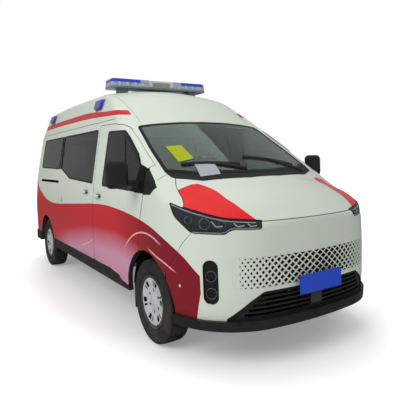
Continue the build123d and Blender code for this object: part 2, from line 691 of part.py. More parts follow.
for side, turned in (("right", lambda shape: shape), ("left", flipped)):
    for name, shape in (("front_door", front_door), ("front_glass", front_glass),
                        ("rear_door", rear_door), ("rear_glass", rear_glass)):
        piece = turned(shape)
        piece.label = f"{name}_{side}"
        export_step(piece, f"parts/{name}_{side}.step")
print("doors", flush=True)

# ---------------------------------------------------------------- roof equipment
BAR_X, BAR_HALF, BAR_DEPTH = -20, 650, 270
BAR_FOOT_Z, BAR_LENS_Z, BAR_TOP_Z = 2398, 2418, 2510
FOOT_Y, FOOT_SIZE = 470, (150, 110)
with BuildPart() as light_bar_base:
    with BuildSketch(Plane.XY.offset(BAR_FOOT_Z)):
        with Locations((BAR_X, 0)):
            RectangleRounded(BAR_DEPTH, 2 * BAR_HALF, 60)
    extrude(amount=BAR_LENS_Z - SEAL - BAR_FOOT_Z)
    with BuildSketch(Plane.XY.offset(2280)):
        with Locations((BAR_X, -FOOT_Y), (BAR_X, FOOT_Y)):
            RectangleRounded(*FOOT_SIZE, 20)
    extrude(amount=BAR_FOOT_Z - 2280)
    add(cabin.moved(Location((0, 0, SEAL))), mode=Mode.SUBTRACT)
light_bar_base = biggest(light_bar_base.part)
light_bar_base.label = "light_bar_base"
export_step(light_bar_base, "parts/light_bar_base.step")

SPEAKER_HALF = 170
with BuildPart() as light_bar_lenses:
    with BuildSketch(Plane.XY.offset(BAR_LENS_Z)):
        with Locations((BAR_X, 0)):
            RectangleRounded(BAR_DEPTH, 2 * BAR_HALF, 60)
    extrude(amount=BAR_TOP_Z - BAR_LENS_Z, taper=8)
    fillet(faces().sort_by(Axis.Z)[-1].edges(), radius=22)
    with Locations((BAR_X, 0, BAR_LENS_Z)):
        Box(400, 2 * (SPEAKER_HALF + SEAL), 200, align=(Align.CENTER, Align.CENTER, Align.MIN), mode=Mode.SUBTRACT)
light_bar_lenses.part.label = "light_bar_lenses"
export_step(light_bar_lenses.part, "parts/light_bar_lenses.step")

with BuildPart() as siren:
    with BuildSketch(Plane.XZ.offset(-SPEAKER_HALF)):
        with Locations((BAR_X, (BAR_LENS_Z + BAR_TOP_Z) / 2)):
            RectangleRounded(BAR_DEPTH - 24, BAR_TOP_Z - BAR_LENS_Z, 18)
    extrude(amount=2 * SPEAKER_HALF)
siren.part.label = "siren"
export_step(siren.part, "parts/siren.step")

# Four blue lamps stand on the slope above the sides.
slope = degrees(asin((862 - 700) / sqrt((862 - 700) ** 2 + (2360 - 1915) ** 2)))
ROOF_LAMPS = [(50, 2180), (-2130, 2200)]             # X and Z of their middles
LAMP_L, LAMP_H, LAMP_T = 230, 120, 42
with BuildPart() as side_lamps_right:
    for x, z in ROOF_LAMPS:
        y = 862 - (z - 1915) * (862 - 700) / (2360 - 1915)
        skin = Plane(origin=(x, -y, z), x_dir=(1, 0, 0), z_dir=(0, -cos(radians(slope)), sin(radians(slope))))
        with BuildSketch(skin.offset(SEAL)):
            RectangleRounded(LAMP_L, LAMP_H, 30)
        extrude(amount=LAMP_T, taper=15)
with BuildPart() as roof_lamps:
    add(side_lamps_right.part)
    add(flipped(side_lamps_right.part))
roof_lamps.part.label = "roof_lamps"
export_step(roof_lamps.part, "parts/roof_lamps.step")

# ---------------------------------------------------------------- floor and frame
FLOOR_Z, FLOOR_T = 600, 40
FLOOR_HALF = 925
RAIL_Y, RAIL_W, RAIL_TOP, RAIL_H = 480, 80, FLOOR_Z - FLOOR_T - SEAL, 120
BULKHEAD_X = 1560
rear_box = wheel_cylinder(REAR_AXLE_X, REAR_ARCH_R, REAR_BOX_Y - LINER - SEAL, 1300)
front_box = wheel_cylinder(ARCH_X, ARCH_R + LINER + 2 * SEAL, STEER_ROOM_Y - LINER - SEAL, 1300)
with BuildPart() as floor_pan:
    add(block((-2552, -FLOOR_HALF, FLOOR_Z - FLOOR_T), (BULKHEAD_X, FLOOR_HALF, FLOOR_Z)))
    add(block((BULKHEAD_X - 20, -780, FLOOR_Z - 1), (BULKHEAD_X, 780, 1235)))
    for cutter in (rear_box, front_box):
        add(cutter, mode=Mode.SUBTRACT)
        add(flipped(cutter), mode=Mode.SUBTRACT)
floor_pan.part.label = "floor_pan"
export_step(floor_pan.part, "parts/floor_pan.step")

FRONT_MEMBER_X = 2400
with BuildPart() as chassis_frame:
    for y in (-RAIL_Y, RAIL_Y):
        add(block((-2550, y - RAIL_W / 2, RAIL_TOP - RAIL_H), (2700, y + RAIL_W / 2, RAIL_TOP)))
        add(block((-BUMPER_X + 60 + SEAL, y - RAIL_W / 2, 380), (-2480, y + RAIL_W / 2, 460)))
    for x in (-2500, -1350, -300, 700, FRONT_MEMBER_X):
        add(block((x - 40, -RAIL_Y, RAIL_TOP - 90), (x + 40, RAIL_Y, RAIL_TOP - 10)))
    for x in (-2500, -1250, -300, 700):
        add(block((x - 30, -FLOOR_HALF, RAIL_TOP - 90), (x + 30, FLOOR_HALF, RAIL_TOP - 10)))
    add(block((2000, -1100, 300), (2800, 1100, 700)) - nose_inside, mode=Mode.SUBTRACT)
TANK_LOW, TANK_HIGH = (-1000, RAIL_Y + RAIL_W / 2 + SEAL, 330), (-360, 880, 462)
with BuildPart() as fuel_tank:
    add(block(TANK_LOW, TANK_HIGH))
    fillet(edges().filter_by(Axis.X), radius=40)
with BuildPart() as chassis:
    add(biggest(chassis_frame.part))
    add(fuel_tank.part)
chassis.part.label = "chassis_frame"
export_step(chassis.part, "parts/chassis_frame.step")

with BuildPart() as front_liner:
    add(wheel_cylinder(ARCH_X, ARCH_R + LINER + SEAL, STEER_ROOM_Y - LINER, 912))
    add(wheel_cylinder(ARCH_X, ARCH_R + SEAL, STEER_ROOM_Y, 1000), mode=Mode.SUBTRACT)
    add(block((ARCH_X - 600, -1000, -200), (ARCH_X + 600, -500, 400)), mode=Mode.SUBTRACT)
    with Locations((FRONT_AXLE_X, -STEER_ROOM_Y, TYRE_R)):
        Box(420, 60, 420, mode=Mode.SUBTRACT)
    add(block((ARCH_X + 300, -1100, 0), (ARCH_X + 600, -400, 900)) - nose_inside, mode=Mode.SUBTRACT)
with BuildPart() as rear_liner:
    add(wheel_cylinder(REAR_AXLE_X, REAR_ARCH_R - SEAL, REAR_BOX_Y - LINER, 1000) & cabin_inside)
    add(wheel_cylinder(REAR_AXLE_X, REAR_ARCH_R - SEAL - LINER, REAR_BOX_Y, 1000), mode=Mode.SUBTRACT)
    add(block((REAR_AXLE_X - 600, -1000, -200), (REAR_AXLE_X + 600, -500, 400)), mode=Mode.SUBTRACT)
    with Locations((REAR_AXLE_X, -REAR_BOX_Y, TYRE_R)):
        Box(280, 60, 280, mode=Mode.SUBTRACT)
with BuildPart() as arch_liners:
    for liner in (front_liner.part, rear_liner.part):
        add(biggest(liner))
        add(flipped(biggest(liner)))
arch_liners.part.label = "arch_liners"
export_step(arch_liners.part, "parts/arch_liners.step")

FLAP_T, FLAP_FOOT = 6, 175
with BuildPart() as mud_flaps:
    for x, near, radius in ((ARCH_X, 770, ARCH_R + SEAL + LINER / 2), (REAR_AXLE_X, 770, REAR_ARCH_R - SEAL - LINER / 2)):
        edge_x = x - sqrt(radius ** 2 - (400 - TYRE_R) ** 2)
        for side in (-1, 1):
            low, high = sorted((side * near, side * 905))
            add(block((edge_x - FLAP_T / 2, low, FLAP_FOOT), (edge_x + FLAP_T / 2, high, 400 - SEAL)))
    add(side_sills.part)
mud_flaps.part.label = "sills_and_flaps"
export_step(mud_flaps.part, "parts/sills_and_flaps.step")

SHAFT_Z, SHAFT_R, PINION_X = 400, 38, REAR_AXLE_X + 175
with BuildPart() as engine:
    add(block((1790, -250, 420), (2330, 250, 1010)))
    chamfer(edges().filter_by(Axis.X), length=60)
    with BuildSketch(Plane.YZ.offset(1791)):
        with Locations((0, 420)):
            Circle(125)
    extrude(amount=-520)
    with BuildSketch(Plane.YZ.offset(1300)):
        with Locations((0, SHAFT_Z)):
            Circle(SHAFT_R)
    extrude(amount=-(1300 - PINION_X - SEAL))
    for side in (-1, 1):
        low, high = sorted((side * 240, side * (RAIL_Y - RAIL_W / 2 - SEAL)))
        add(block((2000, low, 480), (2100, high, 540)))
    for x in (700, -1350):
        add(block((x - 30, -50, SHAFT_Z - 20), (x + 30, 50, RAIL_TOP - 90 - SEAL)))
with BuildPart() as radiator:
    add(block((FRONT_MEMBER_X + 45, -420, RAIL_TOP - 5), (FRONT_MEMBER_X + 100, 420, 950)))
    add(block((FRONT_MEMBER_X - 38, -420, RAIL_TOP - 10 + SEAL), (FRONT_MEMBER_X + 46, 420, RAIL_TOP + 20)))
with BuildPart() as power_unit:
    add(biggest(engine.part))
    add(radiator.part)
power_unit.part.label = "engine"
export_step(power_unit.part, "parts/engine.step")

# ---------------------------------------------------------------- axles, steering, wheels
BALL_Z = 112              # the kingpin's ends, above and below the axle
DISC_R = 125
ARM_T = 16
with BuildPart() as front_suspension:
    add(block((FRONT_AXLE_X - 60, -380, 215), (FRONT_AXLE_X + 60, 380, 285)))
    for side in (-1, 1):
        low, high = sorted((side * 340, side * (RAIL_Y + RAIL_W / 2)))
        add(block((FRONT_AXLE_X - 50, low, 250), (FRONT_AXLE_X + 50, high, RAIL_TOP - RAIL_H - SEAL)))
    for side in (-1, 1):
        for z in (TYRE_R - BALL_Z - ARM_T - SEAL, TYRE_R + BALL_Z + SEAL):
            with BuildSketch(Plane.XY.offset(z)):
                with BuildLine():
                    Polyline((FRONT_AXLE_X - 50, side * 370), (FRONT_AXLE_X - 28, side * KINGPIN_Y),
                             (FRONT_AXLE_X + 28, side * KINGPIN_Y), (FRONT_AXLE_X + 50, side * 370), close=True)
                make_face()
                with Locations((FRONT_AXLE_X, side * KINGPIN_Y)):
                    Circle(28)
            extrude(amount=ARM_T)
    for side in (-1, 1):
        add(block((FRONT_AXLE_X - 50, min(side * 340, side * 400), 215),
                  (FRONT_AXLE_X + 50, max(side * 340, side * 400), TYRE_R + BALL_Z + SEAL + ARM_T)))
    add(block((FRONT_AXLE_X - 700, -RAIL_Y - RAIL_W / 2 - SEAL, RAIL_TOP - RAIL_H - SEAL),
              (FRONT_AXLE_X + 700, -RAIL_Y + RAIL_W / 2 + SEAL, 700)), mode=Mode.SUBTRACT)
    add(block((FRONT_AXLE_X - 700, RAIL_Y - RAIL_W / 2 - SEAL, RAIL_TOP - RAIL_H - SEAL),
              (FRONT_AXLE_X + 700, RAIL_Y + RAIL_W / 2 + SEAL, 700)), mode=Mode.SUBTRACT)
front_suspension.part.label = "front_suspension"
export_step(front_suspension.part, "parts/front_suspension.step")

with BuildPart() as knuckle_right:
    add(block((FRONT_AXLE_X - 30, -KINGPIN_Y - 22, TYRE_R - BALL_Z), (FRONT_AXLE_X + 30, -KINGPIN_Y + 26, TYRE_R + BALL_Z)))
    add(wheel_cylinder(FRONT_AXLE_X, DISC_R, KINGPIN_Y + 32, KINGPIN_Y + 44))
    add(wheel_cylinder(FRONT_AXLE_X, SPINDLE_R, KINGPIN_Y, WHEEL_Y + 50))
knuckle_right.part.label = "knuckle_right"
export_step(knuckle_right.part, "parts/knuckle_right.step")
knuckle_left = flipped(knuckle_right.part)
knuckle_left.label = "knuckle_left"
export_step(knuckle_left, "parts/knuckle_left.step")

SPRING_Y, SPRING_W = 560, 70
with BuildPart() as rear_axle:
    add(wheel_cylinder(REAR_AXLE_X, 48, -REAR_BOX_Y, REAR_BOX_Y))
    add(wheel_cylinder(REAR_AXLE_X, DISC_R, REAR_BOX_Y + 20, KINGPIN_Y + 44))
    add(wheel_cylinder(REAR_AXLE_X, DISC_R, -KINGPIN_Y - 44, -REAR_BOX_Y - 20))
    add(wheel_cylinder(REAR_AXLE_X, SPINDLE_R, -WHEEL_Y - 50, WHEEL_Y + 50))
    with Locations((REAR_AXLE_X, 0, TYRE_R)):
        Sphere(150)
    with BuildSketch(Plane.YZ.offset(REAR_AXLE_X + 40)):
        with Locations((0, SHAFT_Z)):
            Circle(46)
    extrude(amount=PINION_X - REAR_AXLE_X - 40)
    for side in (-1, 1):
        with BuildSketch(Plane.XZ.offset(-side * SPRING_Y - SPRING_W / 2)):
            with BuildLine():
                upper = ThreePointArc((REAR_AXLE_X - 560, 430), (REAR_AXLE_X, TYRE_R - 30), (REAR_AXLE_X + 560, 430))
                lower = ThreePointArc((REAR_AXLE_X - 560, 415), (REAR_AXLE_X, TYRE_R - 62), (REAR_AXLE_X + 560, 415))
                Line(upper @ 0, lower @ 0)
                Line(upper @ 1, lower @ 1)
            make_face()
        extrude(amount=SPRING_W)
        for x in (REAR_AXLE_X - 545, REAR_AXLE_X + 545):
            low, high = sorted((side * (RAIL_Y + RAIL_W / 2 + SEAL), side * (SPRING_Y + SPRING_W / 2)))
            add(block((x - 20, low, 415), (x + 20, high, 520)))
rear_axle.part.label = "rear_axle"
export_step(rear_axle.part, "parts/rear_axle.step")

# Wheels: a pressed steel rim with round holes, a hub cap, and a tyre over it.
HOLES, HOLE_R, HOLE_PITCH_R = 12, 15, 150
FLANGE_R, FLANGE_T = 221, 8
WELL_R = 176
rim_section = [
    (RIM_W / 2, FLANGE_R), (RIM_W / 2 + FLANGE_T, FLANGE_R), (RIM_W / 2 + FLANGE_T, RIM_R - RIM_SHELL),
    (50, RIM_R - RIM_SHELL - 6), (35, WELL_R - RIM_SHELL), (-20, WELL_R - RIM_SHELL), (-40, RIM_R - RIM_SHELL),
    (-RIM_W / 2 - FLANGE_T, RIM_R - RIM_SHELL), (-RIM_W / 2 - FLANGE_T, FLANGE_R), (-RIM_W / 2, FLANGE_R),
    (-RIM_W / 2, RIM_R), (-36, RIM_R), (-18, WELL_R), (33, WELL_R), (52, RIM_R), (RIM_W / 2, RIM_R),
]
# The wheel's disc, from the axle outwards: distance out from the wheel's middle, radius.
disc_section = [
    (58, SPINDLE_R + 1), (58, HUB_R), (38, HUB_R + 14), (40, 115), (58, 142), (36, WELL_R - 3), (28, WELL_R - 3),
    (46, 142), (30, 118), (26, 80), (0, HUB_R), (0, SPINDLE_R + 1),
]


def turned_wheel(section):
    """A section of (outward, radius) turned about the axle of the right wheel at the origin."""
    with BuildPart() as wheel:
        with BuildSketch(Plane.YZ):
            with BuildLine():
                Polyline(*[(-out, radius) for out, radius in section], close=True)
            make_face()
        revolve(axis=Axis.Y)
    return wheel.part


with BuildPart() as rim:
    add(turned_wheel(rim_section))
    add(turned_wheel(disc_section))
    with BuildSketch(Plane.XZ):
        with PolarLocations(HOLE_PITCH_R, HOLES):
            Circle(HOLE_R)
    extrude(amount=90, both=False, mode=Mode.SUBTRACT)
    with BuildSketch(Plane.XZ.offset(52)):
        Circle(HUB_R - 3)
    extrude(amount=14)
BEAD = 0.3
half_w = TYRE_W / 2
tyre_section = [
    ((RIM_W / 2 - BEAD, RIM_R + BEAD), 0), ((RIM_W / 2 - BEAD, FLANGE_R + 3), 0),
    ((half_w, 268), 30), ((half_w - 4, 318), 20), ((half_w - 26, TYRE_R - 3), 14), ((0, TYRE_R), 0),
]
tyre_outline = tyre_section + [((-out, radius), r) for (out, radius), r in reversed(tyre_section[:-1])]
with BuildPart() as tyre:
    with BuildSketch(Plane.YZ):
        add(rounded(tyre_outline))
    revolve(axis=Axis.Y)
WHEELS = [("front_right", FRONT_AXLE_X, -1), ("front_left", FRONT_AXLE_X, 1),
          ("rear_right", REAR_AXLE_X, -1), ("rear_left", REAR_AXLE_X, 1)]
for place, x, side in WHEELS:
    for name, shape in (("rim", rim.part), ("tyre", tyre.part)):
        piece = shape if side < 0 else flipped(shape)
        piece = piece.moved(Location((x, side * WHEEL_Y, TYRE_R)))
        piece.label = f"{name}_{place}"
        export_step(piece, f"parts/{name}_{place}.step")
print("wheels", flush=True)

# ---------------------------------------------------------------- inside
DRIVER_Y = 430
DASH_HALF = 780
dash_profile = [
    ((BULKHEAD_X - 20 - SEAL, 800), 0), ((BULKHEAD_X - 20 - SEAL, 1235), 0), ((1400, 1290), 60), ((1190, 1270), 50),
    ((1140, 1150), 60), ((1200, 900), 60), ((1350, 800), 40),
]
with BuildPart() as dashboard:
    add(prism(Plane.XZ.offset(-DASH_HALF), dash_profile, 0, 2 * DASH_HALF))
    wheel_plane = Plane(origin=(1010, DRIVER_Y, 1150), x_dir=(0, 1, 0), z_dir=(-cos(radians(35)), 0, sin(radians(35))))
    with BuildSketch(wheel_plane.offset(-30)):
        Circle(30)
    extrude(amount=-170)
dashboard.part.label = "dashboard"
export_step(dashboard.part, "parts/dashboard.step")

with BuildPart() as steering_wheel:
    with BuildSketch(Plane(origin=wheel_plane.origin + wheel_plane.x_dir * 190, x_dir=wheel_plane.x_dir, z_dir=wheel_plane.y_dir)):
        Circle(14)
    revolve(axis=Axis(wheel_plane.origin, wheel_plane.z_dir))
    with BuildSketch(wheel_plane.offset(-30 + SEAL)):
        Circle(60)
        with Locations((0, -75)):
            Rectangle(50, 220)
        Rectangle(370, 40)
    extrude(amount=36)
steering_wheel.part.label = "steering_wheel"
export_step(steering_wheel.part, "parts/steering_wheel.step")

with BuildPart() as seat:
    with Locations((0, 0, FLOOR_Z + SEAL)):
        Box(380, 380, 260, align=(Align.CENTER, Align.CENTER, Align.MIN))
    with BuildSketch(Plane.XZ.offset(-240)):
        with BuildLine():
            Polyline((250, 860), (250, 955), (-160, 930), (-300, 1560), (-400, 1530), (-280, 860), close=True)
        make_face()
        fillet(vertices(), radius=35)
    extrude(amount=480)
    with BuildSketch(Plane.XZ.offset(-130)):
        with Locations((-365, 1640)):
            RectangleRounded(90, 170, 35)
    extrude(amount=260)
    with Locations((-355, 0, 1540)):
        Box(20, 120, 60)
with BuildPart() as cab_seats:
    for y in (-DRIVER_Y, DRIVER_Y):
        add(seat.part.moved(Location((730, y, 0))))
cab_seats.part.label = "cab_seats"
export_step(cab_seats.part, "parts/cab_seats.step")

PARTITION_X, PARTITION_T = 262, 28
with BuildPart() as partition:
    add(cabin_inside & block((PARTITION_X, -1000, FLOOR_Z + SEAL), (PARTITION_X + PARTITION_T, 1000, 2600)))
    with BuildSketch(Plane.YZ.offset(PARTITION_X - 10)):
        with Locations((0, 1600)):
            RectangleRounded(700, 400, 40)
    extrude(amount=60, mode=Mode.SUBTRACT)
partition.part.label = "partition"
export_step(partition.part, "parts/partition.step")

with BuildPart() as cabinets:
    add(cabin_inside & block((-2300, 500, 1000), (200, 1000, 2100)))
    for x in (-840, 0, 840):
        add(block((-1050 + x - 390, 480, 1480), (-1050 + x + 390, 512, 1950)), mode=Mode.SUBTRACT)
    add(block((-2500, 480, 990), (300, 640, 1440)), mode=Mode.SUBTRACT)
cupboards = biggest(cabinets.part)

with BuildPart() as bench:
    add(block((-2250, -915, FLOOR_Z + SEAL), (-1250, -560, 960)))
    fillet(edges().filter_by(Axis.X).group_by(Axis.Z)[-1], radius=30)
    add(rear_box, mode=Mode.SUBTRACT)
    add(cupboards)
bench.part.label = "cupboards_and_bench"
export_step(bench.part, "parts/cupboards_and_bench.step")

with BuildPart() as stretcher:
    add(block((-2450, -460, 900), (-500, 100, 990)))
    fillet(edges().filter_by(Axis.Z), radius=60)
    add(block((-2430, -440, 850), (-520, 80, 902)))
    for x in (-2300, -700):
        for y in (-400, 40):
            add(block((x - 20, y - 20, FLOOR_Z + SEAL), (x + 20, y + 20, 860)))
    add(block((-2430, -400, 620), (-560, -360, 650)))
    add(block((-2430, 0, 620), (-560, 40, 650)))
stretcher.part.label = "stretcher"
export_step(stretcher.part, "parts/stretcher.step")
print("inside", flush=True)
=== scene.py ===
# %% [markdown]
# # A high-roof ambulance
# The van is already built as solid pieces: doors, wings, glass, wheels, light bar. This notebook gives
# them their finishes and adds what is too fine for the solids: tread, handles, seals, cushions, cards.
# Everything is in metres, X forward, Y to the vehicle's left and Z up from the road.

# %% Load the frame
from math import cos, pi, radians, sin

import bmesh
import bpy
from mathutils import Matrix, Vector
from mathutils.bvhtree import BVHTree


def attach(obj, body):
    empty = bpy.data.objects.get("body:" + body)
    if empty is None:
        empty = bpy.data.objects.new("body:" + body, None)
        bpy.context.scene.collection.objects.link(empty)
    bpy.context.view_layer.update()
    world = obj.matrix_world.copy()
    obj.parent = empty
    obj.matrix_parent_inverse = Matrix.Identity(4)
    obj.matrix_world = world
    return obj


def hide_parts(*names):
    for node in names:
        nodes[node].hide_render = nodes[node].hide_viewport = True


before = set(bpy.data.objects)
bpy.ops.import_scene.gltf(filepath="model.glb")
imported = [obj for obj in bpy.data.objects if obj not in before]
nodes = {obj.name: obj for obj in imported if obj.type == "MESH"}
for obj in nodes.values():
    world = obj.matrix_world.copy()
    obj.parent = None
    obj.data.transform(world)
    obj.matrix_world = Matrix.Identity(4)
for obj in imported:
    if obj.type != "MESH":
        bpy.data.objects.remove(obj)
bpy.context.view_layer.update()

# %% [markdown]
# ## Camera
# A photographer stands by the front right corner at chest height. A camera can be turned with Euler
# angles or aimed by a constraint; writing its three axes into the matrix is exact and needs no trials.
# A small shift keeps the verticals of the van upright while it sits off the middle of the picture.

# %% Camera
IMAGE = 400
EYE = Vector((5.0792, -2.5236, 1.5244))
YAW, PITCH, ROLL = radians(147.496), radians(0.05), radians(-1.78)
FOCAL_PX, CENTRE_PX = 445.7, (207.4, 159.1)

forward = Vector((cos(YAW) * cos(PITCH), sin(YAW) * cos(PITCH), -sin(PITCH)))
level = Vector((sin(YAW), -cos(YAW), 0))
upright = level.cross(forward)
right = cos(ROLL) * level + sin(ROLL) * upright
up = cos(ROLL) * upright - sin(ROLL) * level

lens = bpy.data.cameras.new("camera")
lens.sensor_width = 36
lens.lens = FOCAL_PX / IMAGE * lens.sensor_width
lens.shift_x = (IMAGE / 2 - CENTRE_PX[0]) / IMAGE
lens.shift_y = (CENTRE_PX[1] - IMAGE / 2) / IMAGE
lens.clip_end = 200
camera = bpy.data.objects.new("camera", lens)
camera.matrix_world = Matrix.Translation(EYE) @ Matrix((right, up, -forward)).transposed().to_4x4()
bpy.context.scene.collection.objects.link(camera)
bpy.context.scene.camera = camera
print("lens:", round(lens.lens, 1), "mm")

# %% [markdown]
# ## Helpers for shader nodes
# A material is a graph. Making each node in one call, with its inputs given by name, keeps the graph
# readable from top to bottom. A value that is a socket becomes a link, anything else a setting.

# %% Node helpers
def add_node(tree, kind, inputs=None, **settings):
    node = tree.nodes.new(kind)
    for key, value in settings.items():
        setattr(node, key, value)
    for key, value in (inputs or {}).items():
        if isinstance(value, bpy.types.NodeSocket):
            tree.links.new(value, node.inputs[key])
        else:
            node.inputs[key].default_value = value
    return node


def calc(tree, operation, a, b=0.0):
    """One step of arithmetic, and its result."""
    return add_node(tree, "ShaderNodeMath", {0: a, 1: b}, operation=operation).outputs[0]


def ramp(tree, value, low, high, start=0.0, end=1.0):
    """Carries value from start to end while it goes from low to high."""
    spread = add_node(tree, "ShaderNodeMapRange", {
        "Value": value, "From Min": low, "From Max": high, "To Min": start, "To Max": end})
    return spread.outputs[0]


def curve(tree, value, points, low, high):
    """A smooth line through points (input, output), both read between low and high."""
    node = add_node(tree, "ShaderNodeFloatCurve", {"Value": ramp(tree, value, low, high)})
    line = node.mapping.curves[0]
    scaled = sorted(((a - low) / (high - low), (b - low) / (high - low)) for a, b in points)
    for index, (a, b) in enumerate(scaled):
        if index < 2:
            line.points[index].location = (a, b)
        else:
            line.points.new(a, b)
    node.mapping.update()
    return ramp(tree, node.outputs[0], 0.0, 1.0, low, high)


def blend(tree, share, below, above):
    """Mixes two colours."""
    mix = add_node(tree, "ShaderNodeMix", data_type="RGBA")
    for index, value in ((0, share), (6, below), (7, above)):
        if isinstance(value, bpy.types.NodeSocket):
            tree.links.new(value, mix.inputs[index])
        else:
            mix.inputs[index].default_value = value
    return mix.outputs[2]


def object_axes(tree):
    """Where a point lies on the object, as one vector and split into X, Y and Z."""
    place = add_node(tree, "ShaderNodeTexCoord").outputs["Object"]
    return place, add_node(tree, "ShaderNodeSeparateXYZ", {0: place}).outputs


def new_group(name, inputs, outputs):
    """An empty shader group: inputs {name: default}, outputs {name: kind of socket}."""
    group = bpy.data.node_groups.new(name, "ShaderNodeTree")
    for label, value in inputs.items():
        socket = group.interface.new_socket(label, in_out="INPUT", socket_type="NodeSocketFloat")
        socket.default_value = value
    for label, kind in outputs.items():
        group.interface.new_socket(label, in_out="OUTPUT", socket_type=kind)
    return group, group.nodes.new("NodeGroupInput"), group.nodes.new("NodeGroupOutput")


def use(tree, group, **values):
    """Places a group in a material with its own values; an underscore stands for a space."""
    return add_node(tree, "ShaderNodeGroup", {k.replace("_", " "): v for k, v in values.items()},
                    node_tree=group)


def srgb(*levels):
    """A colour as seen on a screen, 0 to 255, turned into light."""
    light = (v / 255 / 12.92 if v <= 10 else ((v / 255 + 0.055) / 1.055) ** 2.4 for v in levels)
    return (*light, 1.0)


print("helpers ready")

# %% [markdown]
# ## Fine grain
# Moulded plastic, cast metal, rubber and cloth all have a fine relief. It could be an image, but noise
# in the object's own coordinates needs no unwrapping and stays sharp at any distance. Four finishes
# use it, so it is one group with a size and a spread of roughness.

# %% Grain group
grain, gin, gout = new_group(
    "fine_grain", {"Scale": 200.0, "Detail": 3.0, "Rough Low": 0.4, "Rough High": 0.6},
    {"Height": "NodeSocketFloat", "Roughness": "NodeSocketFloat"})
place = grain.nodes.new("ShaderNodeTexCoord").outputs["Object"]
noise = add_node(grain, "ShaderNodeTexNoise", {
    "Vector": place, "Scale": gin.outputs["Scale"], "Detail": gin.outputs["Detail"]})
broad = add_node(grain, "ShaderNodeTexNoise", {"Vector": place, "Scale": 6.0})
grain.links.new(noise.outputs["Fac"], gout.inputs["Height"])
spread = ramp(grain, broad.outputs["Fac"], 0.3, 0.7, gin.outputs["Rough Low"], gin.outputs["Rough High"])
grain.links.new(spread, gout.inputs["Roughness"])
print(grain.name, [s.name for s in grain.interface.items_tree])

# %% [markdown]
# ## Road dust
# A vehicle that was driven to a show keeps a little dust low down, on sills, tyres and arches. The
# group looks only at height above the road, broken up by noise, and gives a mask.

# %% Dust group
dust, din, dout = new_group("road_dust", {"Top": 0.5, "Amount": 0.3}, {"Mask": "NodeSocketFloat"})
place, axes = object_axes(dust)
fall = ramp(dust, axes["Z"], 0.0, din.outputs["Top"], 1.0, 0.0)
cloud = add_node(dust, "ShaderNodeTexNoise", {"Vector": place, "Scale": 9.0, "Detail": 5.0})
patchy = calc(dust, "MULTIPLY", fall, ramp(dust, cloud.outputs["Fac"], 0.35, 0.65))
dust.links.new(calc(dust, "MULTIPLY", patchy, din.outputs["Amount"]), dout.inputs["Mask"])
print(dust.name, "ready")

# %% [markdown]
# ## The livery
# The stripes are foil on white paint: a wide swoosh low on both sides, a band under the roof, a patch
# on each corner of the bonnet and one thin arc over the front wheel. They could be separate thin
# meshes, but foil follows the panel and stops at its gaps, so masks in the paint are truer. Each edge
# is a curve of height against length. Body paint and bonnet paint both use the group.

# %% Livery curves
SWOOSH_TOP = [
    (-2.70, 1.36), (-2.60, 1.31), (-2.498, 1.248), (-2.401, 1.171), (-2.171, 1.085), (-1.894, 1.008),
    (-1.64, 0.979),
    (-1.346, 0.970), (-0.825, 0.998), (-0.167, 1.043), (0.375, 1.078), (0.688, 1.086), (0.97, 1.077),
    (1.223, 1.060), (1.453, 1.036), (1.663, 1.005), (1.852, 0.962), (1.999, 0.909), (2.113, 0.854),
    (2.212, 0.791), (2.29, 0.712), (2.323, 0.676), (2.70, 0.30)]
BAND_TOP = [(-2.70, 2.12), (-2.094, 2.134), (-1.194, 2.138), (-0.295, 2.127), (0.279, 2.086), (0.659, 2.062),
            (2.70, 1.9)]
BAND_FOOT = [(-2.70, 2.05), (-2.055, 2.061), (-1.099, 2.060), (-0.212, 2.047), (0.336, 2.024), (0.761, 2.003),
             (2.70, 1.9)]
PATCH_INNER = [(0.0, 0.72), (1.937, 0.697), (1.969, 0.631), (2.309, 0.566), (2.437, 0.542), (2.534, 0.505),
               (2.70, 0.42)]
EDGE = 0.0012             # how soft a foil's edge is
ARC_X, ARC_Z, ARC_R = 1.661, 0.282, 0.640
# Top edge of the lilac: partly a real fade in the foil, partly a painted reflection of the pale floor.
FADE_AND_REFLECTION_TOP = [(-2.70, 0.40), (-1.40, 0.50), (-1.106, 0.566), (-0.415, 0.685), (0.24, 0.771), (0.577, 0.792),
            (1.078, 0.799),
            (1.233, 0.785), (1.60, 0.72), (2.00, 0.55), (2.70, 0.40)]
LINE_AHEAD = [(0.0, 0.95), (1.60, 0.835), (1.721, 0.800), (1.846, 0.764), (1.962, 0.735), (2.099, 0.683),
              (2.70, 0.4)]
LINE_BELOW = [(-2.7, 0.2), (-0.8, 0.46), (-0.234, 0.539), (0.075, 0.614), (0.290, 0.683), (1.0, 0.95),
              (2.7, 1.2)]

# %% Livery group
FOILS = ("Swoosh", "Fade", "Deep", "Band", "Patch", "Arc", "Corner")
livery, lin, lout = new_group("livery", {"Line Width": 0.006}, {label: "NodeSocketFloat" for label in FOILS})
axes = object_axes(livery)[1]
x, z = axes["X"], axes["Z"]
out = calc(livery, "ABSOLUTE", axes["Y"])


def under(tree, value, limit):
    """1 where value lies under limit, with a foil's edge between."""
    return ramp(tree, calc(tree, "SUBTRACT", limit, value), -EDGE, EDGE)


def both(tree, *masks):
    result = masks[0]
    for mask in masks[1:]:
        result = calc(tree, "MULTIPLY", result, mask)
    return result


front = ramp(livery, z, 0.355, 0.55, 2.272, 2.321)
swoosh = both(livery, under(livery, z, curve(livery, x, SWOOSH_TOP, -2.7, 2.7)), under(livery, x, front))
band = both(
    livery, under(livery, z, curve(livery, x, BAND_TOP, -2.7, 2.7)),
    under(livery, curve(livery, x, BAND_FOOT, -2.7, 2.7), z),
    under(livery, x, ramp(livery, z, 2.0, 2.07, 0.89, 0.76)), under(livery, -2.45, x),
    under(livery, 0.70, out))
